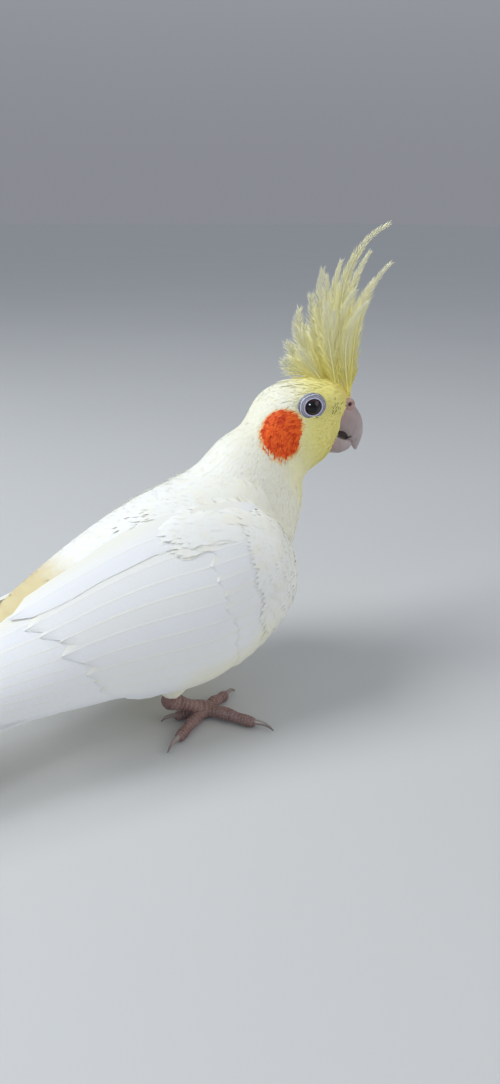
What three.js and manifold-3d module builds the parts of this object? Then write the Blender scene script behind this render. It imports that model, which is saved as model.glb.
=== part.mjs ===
// A lutino cockatiel standing on a level floor, life size, in millimetres.
// X points forward from the tail to the breast, Y to the bird's left and Z up.
// The shapes are set out round a point on the floor between the feet, and the whole bird is
// then moved so that the origin lies under the middle of its bounding box.
import * as THREE from "three";
import { mergeVertices } from "three/addons/utils/BufferGeometryUtils.js";
import Module from "manifold-3d";

const wasm = await Module();
wasm.setup();

// Driving dimensions.
const seam = 0.3; // clearance between neighbouring nodes
const vaneThickness = 0.6; // flight, tail and covert feathers
const crestThickness = 0.7;
const shortestEdge = 0.02;
const floorHeight = 0;

const head = {
  eyeLine: [44.4, -2.6, 94.4], // middle of the line between the eyes
  turn: -25, // degrees, looking to the bird's right
  eyeDepth: 2.2, // eye centre behind the feathered surface
  eyeRadius: 3.2,
  lidRadius: 3.0, // middle of the bare ring round the eye
  lidThickness: 0.85,
};
const neckPlane = { point: [34, 0, 79], lean: 42 }; // head from neck, degrees from level
const breastPlane = { point: [24, 0, 69], lean: 34 }; // neck from torso
const rumpPlane = { point: [-55, 0, 41], lean: 80 }; // torso from tail

const wing = {
  upperGapRight: 6.5, // upper edge from the mid line over the rump
  upperGapLeft: 9,
  leftDrop: 4, // the left wing's upper edge sits lower over the back
  coreEnd: 0.56, // share of the wing's length that has flesh and bone under the feathers
  coreDepth: 7,
};
const tail = {
  root: [-57, 0, 41.2],
  length: 148,
  pairs: 6,
  spread: 1.2, // degrees between neighbouring feathers
  layer: 0.9,
};
const leg = {
  spread: 13, // foot from the mid line
  ankle: [-12.5, 10.5], // x and z
  fork: [0, 2.1], // where the toes meet
  tarsusRadius: 2.4,
};

const materials = {
  feather: new THREE.MeshStandardMaterial({ color: 0xf1f0e2, roughness: 0.85 }),
  face: new THREE.MeshStandardMaterial({ color: 0xf0e58a, roughness: 0.85 }),
  wing: new THREE.MeshStandardMaterial({ color: 0xeef0f2, roughness: 0.8 }),
  tail: new THREE.MeshStandardMaterial({ color: 0xf3ecb4, roughness: 0.8 }),
  bill: new THREE.MeshStandardMaterial({ color: 0xcbb8a4, roughness: 0.45 }),
  claw: new THREE.MeshStandardMaterial({ color: 0xb9a59b, roughness: 0.4 }),
  foot: new THREE.MeshStandardMaterial({ color: 0xa87870, roughness: 0.6 }),
  eye: new THREE.MeshStandardMaterial({ color: 0x2a1517, roughness: 0.08 }),
};

const radians = THREE.MathUtils.degToRad;
const mix = THREE.MathUtils.lerp;
const smoothstep = THREE.MathUtils.smoothstep;
const vector = (values) => new THREE.Vector3(...values);

// Solids: closed meshes joined and cut.

function solid(geometry) {
  const bare = new THREE.BufferGeometry();
  bare.setAttribute("position", geometry.getAttribute("position"));
  bare.setIndex(geometry.index);
  const merged = mergeVertices(bare, 1e-4);
  const triVerts = new Uint32Array(merged.index.array);
  const vertProperties = new Float32Array(merged.attributes.position.array);
  const data = { numProp: 3, vertProperties, triVerts, tolerance: shortestEdge };
  let made = new wasm.Manifold(new wasm.Mesh(data));
  if (made.volume() < 0) {
    for (let i = 0; i < triVerts.length; i += 3) {
      [triVerts[i + 1], triVerts[i + 2]] = [triVerts[i + 2], triVerts[i + 1]];
    }
    made = new wasm.Manifold(new wasm.Mesh(data));
  }
  return made;
}

function joined(solids) {
  return solids.reduce((sum, next) => sum.add(next));
}

function largest(made) {
  return made.decompose().reduce((best, next) => (next.volume() > best.volume() ? next : best));
}

// A closed surface through rings of equal count, with a fan on each end. In a thin vane the first
// half of each ring is one face and the second half the other, and both are split alike.
function loft(rings, thin = false) {
  const count = rings[0].length;
  const positions = rings.flat().flatMap((p) => [p.x, p.y, p.z]);
  const index = [];
  for (let i = 0; i + 1 < rings.length; i++) {
    for (let j = 0; j < count; j++) {
      const a = i * count + j;
      const b = i * count + ((j + 1) % count);
      const c = a + count;
      const d = b + count;
      if (thin && j >= count / 2) index.push(a, b, c, b, d, c);
      else index.push(a, b, d, a, d, c);
    }
  }
  for (const end of [0, rings.length - 1]) {
    const middle = new THREE.Vector3();
    rings[end].forEach((p) => middle.add(p));
    middle.divideScalar(count);
    const centre = positions.length / 3;
    positions.push(middle.x, middle.y, middle.z);
    for (let j = 0; j < count; j++) {
      const a = end * count + j;
      const b = end * count + ((j + 1) % count);
      if (end === 0) index.push(centre, b, a);
      else index.push(centre, a, b);
    }
  }
  const geometry = new THREE.BufferGeometry();
  geometry.setAttribute("position", new THREE.Float32BufferAttribute(positions, 3));
  geometry.setIndex(index);
  return geometry;
}

// A round tube along a curve, with its radius (or width and height) at each share of the length.
function tube(curve, steps, sides, sizeAt) {
  const rings = [];
  for (let i = 0; i <= steps; i++) {
    const t = i / steps;
    const middle = curve.getPoint(t);
    const along = curve.getTangent(t);
    const across = new THREE.Vector3(0, 0, 1).cross(along).normalize();
    const up = along.clone().cross(across).normalize();
    const [width, height] = sizeAt(t);
    const ring = [];
    for (let j = 0; j < sides; j++) {
      const angle = (2 * Math.PI * (j + 0.5)) / sides;
      const offset = across.clone().multiplyScalar(width * Math.cos(angle));
      ring.push(middle.clone().add(offset).addScaledVector(up, height * Math.sin(angle)));
    }
    rings.push(ring);
  }
  return solid(loft(rings));
}

// Everything on the far side of a plane that leans from level about the Y axis.
function beyond(plane, shift, above) {
  const size = 400;
  const half = new THREE.BoxGeometry(size, size, size);
  half.translate(0, 0, ((above ? 1 : -1) * size) / 2);
  half.rotateY(radians(plane.lean));
  const normal = new THREE.Vector3(0, 0, 1).applyAxisAngle(
    new THREE.Vector3(0, 1, 0),
    radians(plane.lean),
  );
  const place = vector(plane.point).addScaledVector(normal, shift);
  half.translate(place.x, place.y, place.z);
  return solid(half);
}

const below = beyond({ point: [0, 0, floorHeight], lean: 0 }, 0, false);

// Head frame: X toward the bill, Z up, with the origin between the eyes.
const headFrame = new THREE.Matrix4()
  .makeTranslation(...head.eyeLine)
  .multiply(new THREE.Matrix4().makeRotationZ(radians(head.turn)));
const headPoint = (x, y, z) => new THREE.Vector3(x, y, z).applyMatrix4(headFrame);

// The feathered body is one rounded form, the soft union of these blobs.
function blob(centre, radii, pitch = 0, blend = 8, yaw = 0) {
  const frame = new THREE.Matrix4()
    .makeTranslation(centre.x, centre.y, centre.z)
    .multiply(new THREE.Matrix4().makeRotationZ(radians(yaw)))
    .multiply(new THREE.Matrix4().makeRotationY(radians(-pitch)));
  return { inverse: frame.invert(), radii: vector(radii), blend };
}

const blobs = [
  blob(vector([-1, 0, 48]), [37.5, 22, 25.5], 22, 0), // chest and back
  blob(vector([1, 0, 37]), [32, 19.5, 21], 8, 10), // belly
  blob(vector([20, 0, 57.5]), [15.5, 16, 17.5], 50, 12), // breast
  blob(vector([28, 0, 72]), [12.5, 12.5, 17.5], 42, 12), // neck
  blob(vector([-30, 0, 45.5]), [30, 15, 15], 14, 14), // rump
  blob(vector([-46, 0, 37.5]), [30, 9.5, 8], 6, 10), // under the tail
  blob(headPoint(-5.4, 0, -7.2), [13.4, 11.2, 13.4], 0, 9, head.turn), // skull
  blob(headPoint(3.5, 0, -3.4), [10.4, 8.4, 10.4], 0, 5, head.turn), // face
  blob(headPoint(8.5, 0, -0.4), [6.8, 5.2, 6.2], 0, 4, head.turn), // forehead
  blob(headPoint(-1, 0, -12.5), [10.2, 9.6, 8.6], 0, 6, head.turn), // chin and cheeks
];

const query = new THREE.Vector3();
function bodyField(point) {
  let field = Infinity;
  for (const { inverse, radii, blend } of blobs) {
    query.copy(point).applyMatrix4(inverse).divide(radii);
    const reach = query.length();
    const slope = query.divide(radii).length();
    const distance = slope > 1e-9 ? (reach * (reach - 1)) / slope : -radii.z;
    if (field === Infinity) {
      field = distance;
    } else {
      const near = Math.max(blend - Math.abs(field - distance), 0) / blend;
      field = Math.min(field, distance) - (near * near * blend) / 4;
    }
  }
  return field;
}

// The first place along a ray where the body ends, at a level outside its surface.
function bodySurface(start, direction, level, furthest) {
  const step = 1;
  let inside = 0;
  let outside = step;
  const at = (t) => bodyField(start.clone().addScaledVector(direction, t)) - level;
  while (outside < furthest && at(outside) < 0) {
    inside = outside;
    outside += step;
  }
  for (let i = 0; i < 18 && outside < furthest; i++) {
    const middle = (inside + outside) / 2;
    if (at(middle) < 0) inside = middle;
    else outside = middle;
  }
  return start.clone().addScaledVector(direction, Math.min(outside, furthest));
}

function headSkin(level, detail) {
  const furthest = 34; // runs a little way down into the neck, where it is cut off
  const centre = headPoint(-3.5, 0, -5);
  const geometry = mergeVertices(bareSphere(detail));
  const position = geometry.getAttribute("position");
  const direction = new THREE.Vector3();
  for (let i = 0; i < position.count; i++) {
    direction.fromBufferAttribute(position, i).normalize();
    const point = bodySurface(centre, direction, level, furthest);
    position.setXYZ(i, point.x, point.y, point.z);
  }
  return solid(geometry);
}

function bareSphere(detail) {
  const geometry = new THREE.IcosahedronGeometry(1, detail);
  geometry.deleteAttribute("normal");
  geometry.deleteAttribute("uv");
  return geometry;
}

const spine = new THREE.CatmullRomCurve3(
  [
    [38, 0, 88],
    [30, 0, 77],
    [17, 0, 62],
    [-2, 0, 50],
    [-22, 0, 44.5],
    [-42, 0, 42],
    [-70, 0, 37.5],
  ].map(vector),
);

function trunkSkin(level, steps, sides) {
  const rings = [];
  for (let i = 0; i <= steps; i++) {
    const t = i / steps;
    const middle = spine.getPointAt(t);
    const along = spine.getTangentAt(t);
    const across = new THREE.Vector3(0, 1, 0);
    const up = across.clone().cross(along).normalize();
    const ring = [];
    for (let j = 0; j < sides; j++) {
      const angle = (2 * Math.PI * j) / sides;
      const direction = across
        .clone()
        .multiplyScalar(Math.cos(angle))
        .addScaledVector(up, Math.sin(angle));
      ring.push(bodySurface(middle, direction, level, 45));
    }
    rings.push(ring);
  }
  return solid(loft(rings));
}

const trunkSteps = 26;
const trunkSides = 28;
const headDetail = 8;
const trunk = trunkSkin(0, trunkSteps, trunkSides);
const trunkGrown = trunkSkin(seam, trunkSteps, trunkSides);
const headGrown = headSkin(seam, headDetail);

// A feather: a flat tapered vane along a path that gives each point, its outward normal and the
// half width there. The tilt lifts one edge over the next feather.
function vane(stations, thickness, tilt) {
  const rings = stations.map(({ point, normal, half }, i) => {
    const next = stations[Math.min(i + 1, stations.length - 1)].point;
    const last = stations[Math.max(i - 1, 0)].point;
    const along = next.clone().sub(last).normalize();
    const side = normal.clone().cross(along).normalize();
    const turned = side.clone().applyAxisAngle(along, tilt);
    const up = along.clone().cross(turned).normalize();
    const corner = (a, b) =>
      point
        .clone()
        .addScaledVector(turned, a * half)
        .addScaledVector(up, (b * thickness) / 2);
    return [corner(-1, 1), corner(1, 1), corner(1, -1), corner(-1, -1)];
  });
  return solid(loft(rings, true));
}

// Width of a rounded feather at a share of its length, as a share of its full width.
function featherWidth(t, rootShare, tipShare) {
  const swell = mix(rootShare, 1, smoothstep(t, 0, 0.3));
  const close = Math.sqrt(Math.max(0, 1 - ((t - 0.72) / 0.28) ** 2));
  return t < 0.72 ? swell : mix(tipShare, 1, close);
}
const featherSteps = [0, 0.4, 0.82, 1];

// The folded wing is a curved sheet from its upper edge, beside the back, over the flank to its
// lower edge. u runs from the bend of the wing to the tip of the longest feather, v from the upper
// edge to the lower one. The points are for the right wing, which the left one mirrors.
function wingSheet(side) {
  const upperGap = side < 0 ? wing.upperGapRight : wing.upperGapLeft;
  const drop = side < 0 ? 0 : wing.leftDrop;
  const upper = new THREE.CatmullRomCurve3([
    vector([25, -21.5, 53]),
    vector([15, -17.5, 69.5]),
    vector([-6, -upperGap - 4, 72 - drop]),
    vector([-42, -upperGap, 58 - drop]),
    vector([-88, -upperGap - 2, 39]),
    vector([-136, -upperGap - 6.5, 20]),
  ]);
  const lower = new THREE.CatmullRomCurve3([
    vector([25, -22, 51]),
    vector([18, -22.5, 33]),
    vector([-3, -21.5, 20]),
    vector([-42, -21, 24]),
    vector([-88, -18, 26.5]),
    vector([-137, -upperGap - 8.5, 17.5]),
  ]);
  const bulge = [1.5, 8.8, 12.5, 9, 4, 0.5];
  const bulgeAt = (u) => {
    const place = u * (bulge.length - 1);
    const whole = Math.min(Math.floor(place), bulge.length - 2);
    return mix(bulge[whole], bulge[whole + 1], smoothstep(place - whole, 0, 1));
  };
  const point = (u, v) => {
    const top = upper.getPoint(u);
    const bottom = lower.getPoint(u);
    const out = (4 * v * (1 - v)) ** 0.75 * bulgeAt(u);
    const place = top.lerp(bottom, v);
    place.y -= out;
    place.y *= -side;
    return place;
  };
  const normal = (u, v) => {
    const small = 0.01;
    const low = Math.max(u - small, 0.001);
    const along = point(Math.min(u + small, 1), v).sub(point(low, v));
    const down = point(u, Math.min(v + small, 1)).sub(point(u, Math.max(v - small, 0)));
    return down.cross(along).multiplyScalar(side).normalize();
  };
  return { point, normal };
}

// Height of the fleshy part of the wing over the sheet.
const coreHeight = (u) => 1.6 * (1 - smoothstep(u, 0.08, 0.4)) - 0.9 * smoothstep(u, 0.4, 0.6);

function wingCore(sheet) {
  const steps = 10;
  const across = 6;
  const rings = [];
  for (let i = 0; i <= steps; i++) {
    const u = mix(0.012, wing.coreEnd, i / steps);
    const closing = 1 - smoothstep(u, wing.coreEnd - 0.14, wing.coreEnd);
    const depth = mix(1.2, wing.coreDepth, closing) * Math.min(1, 0.3 + u * 9);
    const margin = mix(0.2, 0.03, closing);
    const outside = [];
    const inside = [];
    for (let j = 0; j <= across; j++) {
      const v = mix(margin, 1 - margin, j / across);
      const rim = Math.sqrt(Math.max(0, 1 - (2 * (j / across) - 1) ** 4));
      const place = sheet.point(u, v);
      const normal = sheet.normal(u, v);
      outside.push(place.clone().addScaledVector(normal, coreHeight(u) - 0.8 + 0.8 * rim));
      inside.push(place.clone().addScaledVector(normal, coreHeight(u) - 1.4 - depth * rim));
    }
    rings.push([...outside, ...inside.reverse()]);
  }
  return solid(loft(rings, true));
}

function wingFeather(sheet, side, { root, tip, width, lift, tilt }) {
  const stations = featherSteps.map((t) => {
    const u = mix(root[0], tip[0], t);
    const v = mix(root[1], tip[1], Math.sin((t * Math.PI) / 2));
    const normal = sheet.normal(u, v);
    const height = coreHeight(u) + mix(-1.2, lift, smoothstep(t, -0.2, 0.6));
    return {
      point: sheet.point(u, v).addScaledVector(normal, height),
      normal,
      half: (width / 2) * featherWidth(t, 0.6, 0.3),
    };
  });
  return vane(stations, vaneThickness, radians(-side * tilt));
}

// Tiers of feathers from the lowest layer to the highest.
const wingTiers = [
  { count: 6, root: [0.4, 0.93], rootStep: [0, -0.09], tip: [1, 0.8], tipStep: [-0.05, -0.12],
    width: 9.5, lift: 0, tilt: 9 }, // primaries
  { count: 7, root: [0.3, 0.92], rootStep: [0, -0.13], tip: [0.57, 0.9], tipStep: [0.014, -0.14],
    width: 10, lift: 1.1, tilt: 9 }, // secondaries
  { count: 7, root: [0.17, 0.93], rootStep: [0, -0.13], tip: [0.36, 0.97], tipStep: [0.006, -0.145],
    width: 9.5, lift: 1.9, tilt: 9 }, // greater coverts
];

function makeWing(side) {
  const sheet = wingSheet(side);
  const pieces = [wingCore(sheet)];
  for (const tier of wingTiers) {
    for (let i = 0; i < tier.count; i++) {
      const at = (from, step) => from.map((value, k) => value + i * step[k]);
      pieces.push(
        wingFeather(sheet, side, {
          ...tier,
          root: at(tier.root, tier.rootStep),
          tip: at(tier.tip, tier.tipStep),
        }),
      );
    }
  }
  return joined(pieces).subtract(trunkGrown).subtract(headGrown);
}

// Tail: feathers in pairs under the central two, which are the longest and lie on the floor at
// their tips.
function tailPoint(reach, yaw, drop) {
  const share = reach / tail.length;
  const fall = tail.root[2] - floorHeight - vaneThickness / 2;
  const rise = share > 0.955 ? 0 : fall * (1 - share / 0.98) ** 1.25;
  const height = floorHeight + vaneThickness / 2 + rise - drop * smoothstep(1 - share, 0, 0.12);
  return new THREE.Vector3(
    tail.root[0] - reach * Math.cos(yaw),
    reach * Math.sin(yaw),
    Math.max(height, floorHeight + vaneThickness / 2),
  );
}

function makeTail() {
  const core = tube(
    new THREE.LineCurve3(vector([-56, 0, 40.2]), vector([-94, 0, 28.2])),
    7,
    12,
    (t) => [mix(8.5, 4.5, t), mix(5.2, 1.4, t ** 0.8)],
  );
  const pieces = [trunk, core];
  for (let pair = 0; pair < tail.pairs; pair++) {
    const reach = tail.length * [1, 0.93, 0.8, 0.67, 0.55, 0.45][pair];
    for (const side of [-1, 1]) {
      const yaw = radians(side * tail.spread * (pair + 0.45));
      const stations = [0, 0.35, 0.65, 0.92, 0.965, 1].map((t) => {
        const taper = pair < 2 ? mix(1, 0.55, smoothstep(t, 0.4, 0.97)) : 1;
        const tipShare = pair < 2 ? 0.35 : 0.45;
        const close = t > 0.92 ? mix(1, tipShare, (t - 0.92) / 0.08) : 1;
        return {
          point: tailPoint(mix(-4, reach, t), yaw, pair * tail.layer),
          normal: new THREE.Vector3(0.25, 0, 1).normalize(),
          half: (pair === 0 ? 4.3 : 4.8) * taper * close,
        };
      });
      pieces.push(vane(stations, vaneThickness, 0));
    }
  }
  const made = joined(pieces);
  return largest(made.subtract(beyond(rumpPlane, -seam / 2, true)).subtract(below));
}

// Crest: each feather starts on the forehead or crown, at an angle of rise round the middle of the
// face, leans back by an angle and curls forward.
const crestFeathers = [
  { rise: 33, side: 0.9, length: 27, lean: 6, curl: 38, half: 1.8 },
  { rise: 37, side: -1.4, length: 40, lean: 2, curl: 52, half: 1.8 },
  { rise: 41, side: 1.0, length: 41, lean: 5, curl: 44, half: 1.9 },
  { rise: 46, side: -0.6, length: 52, lean: 12, curl: 82, half: 1.9 },
  { rise: 51, side: 1.6, length: 36, lean: 11, curl: 32, half: 2.0 },
  { rise: 56, side: -1.8, length: 35, lean: 25, curl: 36, half: 2.1 },
  { rise: 62, side: 0.4, length: 31, lean: 8, curl: 0, half: 2.1 },
  { rise: 68, side: -1.2, length: 27, lean: 24, curl: 18, half: 2.2 },
  { rise: 75, side: 1.5, length: 23, lean: 40, curl: 54, half: 2.2 },
  { rise: 83, side: -0.6, length: 18, lean: 34, curl: 8, half: 2.3 },
  { rise: 92, side: 0.9, length: 14, lean: 44, curl: 4, half: 2.3 },
  { rise: 103, side: -0.2, length: 10, lean: 60, curl: 0, half: 2.3 },
];
const crestCentre = [3.5, -4]; // x and z in the head frame

function crestFeather({ rise, side, length, lean, curl, half }) {
  const rootDepth = 2.6;
  const steps = 6;
  const centre = headPoint(crestCentre[0], side, crestCentre[1]);
  const outward = headPoint(
    crestCentre[0] + Math.cos(radians(rise)),
    side,
    crestCentre[1] + Math.sin(radians(rise)),
  ).sub(centre);
  const local = bodySurface(centre, outward, 0, 30).applyMatrix4(headFrame.clone().invert());
  const stations = [];
  const place = local.clone();
  const heading = (t) => radians(90 + lean - curl * t ** 2.4);
  place.x -= rootDepth * Math.cos(heading(0));
  place.z -= rootDepth * Math.sin(heading(0));
  const reach = (length + rootDepth) / steps;
  const splay = radians(side * 3.2);
  for (let i = 0; i <= steps; i++) {
    const t = i / steps;
    const width = half * mix(1.1, 0.22, smoothstep(t, 0.35, 1.05));
    const flat = radians(head.turn);
    stations.push({
      point: headPoint(place.x, place.y, place.z),
      normal: new THREE.Vector3(-Math.sin(flat), Math.cos(flat), 0),
      half: width,
    });
    place.x += reach * Math.cos(heading(t + 0.5 / steps));
    place.z += reach * Math.sin(heading(t + 0.5 / steps));
    place.y += reach * Math.sin(splay);
  }
  return vane(stations, crestThickness, 0);
}

// Eyes, the bare ring of lid round each and the socket behind it.
const eyeSurface = (() => {
  const outward = headPoint(0, 1, 0).sub(headPoint(0, 0, 0));
  return bodySurface(headPoint(0, 0, 0), outward, 0, 20).distanceTo(headPoint(0, 0, 0));
})();

function eyeBall(side, radius) {
  const ball = bareSphere(3);
  ball.scale(radius, radius, radius);
  ball.translate(0, side * (eyeSurface - head.eyeDepth), 0);
  return solid(ball.applyMatrix4(headFrame));
}

function lidRing(side) {
  const ring = new THREE.TorusGeometry(head.lidRadius, head.lidThickness, 6, 18);
  ring.deleteAttribute("normal");
  ring.deleteAttribute("uv");
  ring.scale(1.06, 0.96, 1);
  ring.rotateX(Math.PI / 2);
  ring.rotateZ(radians(side * -9));
  ring.translate(0.2, side * (eyeSurface - 0.35), 0);
  return solid(ring.applyMatrix4(headFrame));
}

// Bill: the upper half is a short hook, the lower one a scoop that closes under it.
function bill(path, sizes, level = 0) {
  const curve = new THREE.CatmullRomCurve3(path.map(([x, z]) => headPoint(x, 0, z)));
  const forward = headPoint(1, 0, 0).sub(headPoint(0, 0, 0));
  const across = headPoint(0, 1, 0).sub(headPoint(0, 0, 0));
  const steps = 9;
  const sides = 14;
  const rings = [];
  for (let i = 0; i <= steps; i++) {
    const t = i / steps;
    const middle = curve.getPoint(t);
    const along = curve.getTangent(t);
    const up = along.clone().cross(across).normalize();
    if (up.dot(forward) < 0 && up.z < 0) up.negate();
    const place = t * (sizes.length - 1);
    const whole = Math.min(Math.floor(place), sizes.length - 2);
    const [wide, high] = [0, 1].map((k) =>
      level + mix(sizes[whole][k], sizes[whole + 1][k], place - whole),
    );
    const ring = [];
    for (let j = 0; j < sides; j++) {
      const angle = (2 * Math.PI * j) / sides;
      ring.push(
        middle
          .clone()
          .addScaledVector(across, wide * Math.cos(angle))
          .addScaledVector(up, high * Math.sin(angle)),
      );
    }
    rings.push(ring);
  }
  return solid(loft(rings));
}

const upperBillPath = [[5, -3.4], [10.8, -4.4], [14.6, -7.4], [16.4, -11.5], [17.2, -16.4]];
const upperBillSizes = [[4.8, 5.4], [4.6, 5.2], [3.8, 4.2], [2.5, 2.9], [0.4, 0.45]];
const lowerBillPath = [[3, -12.4], [8.2, -14.2], [11.6, -15.0], [14.2, -14.6], [15.4, -13.4]];
const lowerBillSizes = [[4.2, 3.2], [4.1, 3.3], [3.6, 3.0], [2.7, 1.9], [1.0, 0.6]];

function nostril(side) {
  const pit = bareSphere(2);
  pit.scale(1.0, 0.8, 0.7);
  pit.translate(13.6, side * 3.7, -1.0);
  return solid(pit.applyMatrix4(headFrame));
}

// Feet: two toes forward and two back. Each toe has a heading from straight ahead (outward is
// positive), a length and the thickness at its root.
const toes = [
  { heading: -20, length: 11.5, radius: 1.95 }, // inner front
  { heading: 56, length: 17.5, radius: 2.05 }, // outer front, the longest
  { heading: 152, length: 16.5, radius: 1.95 }, // outer rear
  { heading: 197, length: 10, radius: 1.75 }, // inner rear
];

function toeDirection(side, heading) {
  const angle = radians(heading);
  return new THREE.Vector3(Math.cos(angle), side * Math.sin(angle), 0);
}

function makeToe(side, { heading, length, radius }) {
  const direction = toeDirection(side, heading);
  const start = new THREE.Vector3(leg.fork[0], side * leg.spread, leg.fork[1]);
  const curve = new THREE.CatmullRomCurve3([
    start,
    start.clone().addScaledVector(direction, length * 0.35).setZ(radius * 1.25),
    start.clone().addScaledVector(direction, length * 0.7).setZ(radius * 0.98),
    start.clone().addScaledVector(direction, length).setZ(radius * 0.8),
  ]);
  const pad = (t) => 1 + 0.1 * Math.cos(t * Math.PI * 5);
  return tube(curve, 7, 7, (t) => {
    const size = radius * mix(1.05, 0.74, t) * pad(t) * (t > 0.95 ? 0.6 : 1);
    return [size, size];
  });
}

function makeClaw(side, { heading, length, radius }) {
  const direction = toeDirection(side, heading);
  const start = new THREE.Vector3(leg.fork[0], side * leg.spread, 0);
  const clawLength = 2.2 + length * 0.2;
  const curve = new THREE.QuadraticBezierCurve3(
    start.clone().addScaledVector(direction, length - 1.6).setZ(radius * 0.85),
    start.clone().addScaledVector(direction, length + clawLength * 0.6).setZ(radius * 1.5),
    start.clone().addScaledVector(direction, length + clawLength).setZ(0.45),
  );
  return tube(curve, 4, 6, (t) => [mix(0.8, 0.22, t ** 1.3), mix(0.95, 0.24, t ** 1.3)]);
}

function makeFoot(side) {
  const ankle = new THREE.Vector3(leg.ankle[0], side * leg.spread, leg.ankle[1]);
  const fork = new THREE.Vector3(leg.fork[0], side * leg.spread, leg.fork[1]);
  const tarsus = tube(new THREE.LineCurve3(ankle, fork), 6, 10, (t) => {
    const size = leg.tarsusRadius * (1 + 0.22 * Math.cos(t * 2 * Math.PI));
    return [size * 1.05, size];
  });
  const pad = bareSphere(1);
  pad.scale(3.1, 2.9, 2.5);
  pad.translate(fork.x, fork.y, fork.z);
  const joint = bareSphere(1);
  joint.scale(2.75, 2.6, 2.75);
  joint.translate(ankle.x, ankle.y, ankle.z);
  return joined([tarsus, solid(pad), solid(joint), ...toes.map((toe) => makeToe(side, toe))]);
}

function makeThigh(side) {
  const curve = new THREE.CatmullRomCurve3([
    new THREE.Vector3(-4, side * 10.5, 33),
    new THREE.Vector3(-8, side * 12.5, 22),
    new THREE.Vector3(leg.ankle[0] + 0.6, side * leg.spread, leg.ankle[1] + 0.4),
  ]);
  return tube(curve, 7, 12, (t) => [mix(9, 3.6, t ** 0.9), mix(10.5, 4, t ** 0.9)]);
}

// Assembly.
const bird = new THREE.Group();

function addNode(name, made, material) {
  const whole = largest(made);
  const data = whole.getMesh();
  const geometry = new THREE.BufferGeometry();
  geometry.setAttribute("position", new THREE.Float32BufferAttribute(data.vertProperties, 3));
  geometry.setIndex(new THREE.BufferAttribute(data.triVerts, 1));
  geometry.computeVertexNormals();
  const mesh = new THREE.Mesh(geometry, material);
  mesh.name = name;
  bird.add(mesh);
}

const sockets = joined([-1, 1].map((side) => eyeBall(side, head.eyeRadius + seam)));
const lids = joined([-1, 1].map(lidRing));
const crest = joined(crestFeathers.map(crestFeather));
const headTop = headSkin(0, headDetail).subtract(beyond(neckPlane, seam / 2, false));
const headWhole = joined([headTop, lids, crest]).subtract(sockets);
addNode("head", headWhole, materials.face);

const neck = trunk
  .subtract(beyond(neckPlane, -seam / 2, true))
  .subtract(beyond(breastPlane, seam / 2, false));
addNode("neck", neck, materials.feather);

const torso = trunk
  .subtract(beyond(breastPlane, -seam / 2, true))
  .subtract(beyond(rumpPlane, seam / 2, false));
addNode("torso", torso, materials.feather);

const upperBill = bill(upperBillPath, upperBillSizes)
  .subtract(headGrown)
  .subtract(joined([-1, 1].map(nostril)));
addNode("bill_upper", upperBill, materials.bill);

const lowerBill = bill(lowerBillPath, lowerBillSizes)
  .subtract(headGrown)
  .subtract(bill(upperBillPath, upperBillSizes, seam));
addNode("bill_lower", lowerBill, materials.bill);

for (const [label, side] of [["right", -1], ["left", 1]]) {
  addNode("eye_" + label, eyeBall(side, head.eyeRadius), materials.eye);
  addNode("wing_" + label, makeWing(side), materials.wing);
  const foot = makeFoot(side).subtract(below);
  const claws = toes.map((toe) => makeClaw(side, toe));
  addNode("foot_" + label, foot, materials.foot);
  addNode("thigh_" + label, makeThigh(side).subtract(trunkGrown).subtract(foot), materials.feather);
  claws.forEach((claw, i) => {
    addNode("claw_" + label + "_" + (i + 1), claw.subtract(foot), materials.claw);
  });
}
addNode("tail", makeTail(), materials.tail);

bird.updateMatrixWorld(true);
const bounds = new THREE.Box3().setFromObject(bird, true);
const middle = bounds.getCenter(new THREE.Vector3());
bird.position.set(-middle.x, -middle.y, -bounds.min.z);

export default bird;
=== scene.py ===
import math

import bpy
import numpy as np
from mathutils import Matrix, Vector


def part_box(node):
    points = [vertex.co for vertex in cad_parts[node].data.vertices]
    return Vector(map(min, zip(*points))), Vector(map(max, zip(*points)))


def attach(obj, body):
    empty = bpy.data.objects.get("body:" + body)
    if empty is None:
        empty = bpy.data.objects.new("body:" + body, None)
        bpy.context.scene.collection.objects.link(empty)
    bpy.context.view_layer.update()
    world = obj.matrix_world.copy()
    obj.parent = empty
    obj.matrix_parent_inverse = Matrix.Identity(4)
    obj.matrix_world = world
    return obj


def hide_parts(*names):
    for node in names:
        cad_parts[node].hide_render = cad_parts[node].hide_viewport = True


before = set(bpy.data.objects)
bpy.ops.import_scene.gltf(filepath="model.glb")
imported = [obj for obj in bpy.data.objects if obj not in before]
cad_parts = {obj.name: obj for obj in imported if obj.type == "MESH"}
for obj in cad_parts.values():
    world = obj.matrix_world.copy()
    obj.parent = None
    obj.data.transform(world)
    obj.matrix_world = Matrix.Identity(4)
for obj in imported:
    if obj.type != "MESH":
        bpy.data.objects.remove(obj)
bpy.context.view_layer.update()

# All shapes are worked out in millimetres, in the bird's own axes: x forward, y to its left, z up,
# with the origin on the floor between the feet.
body = "root"
head = {"middle": (44.4, -2.6, 94.4), "turn": -25.0}  # between the eyes, and degrees to the left


def unit(v):
    return v / np.maximum(np.linalg.norm(v, axis=-1, keepdims=True), 1e-9)


def smooth(x, low, high):
    t = np.clip((x - low) / (high - low), 0, 1)
    return t * t * (3 - 2 * t)


def mix(a, b, t):
    return a + (b - a) * t


def turnMatrix(pitch, yaw):
    return np.array(Matrix.Rotation(math.radians(yaw), 3, "Z")
                    @ Matrix.Rotation(math.radians(-pitch), 3, "Y"))


def nodeCentre(name):
    low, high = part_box(name)
    return np.array((low + high) / 2) * 1000


headTurn = turnMatrix(0, head["turn"])
birdOrigin = (nodeCentre("eye_right") + nodeCentre("eye_left")) / 2 - np.array(head["middle"])


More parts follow.
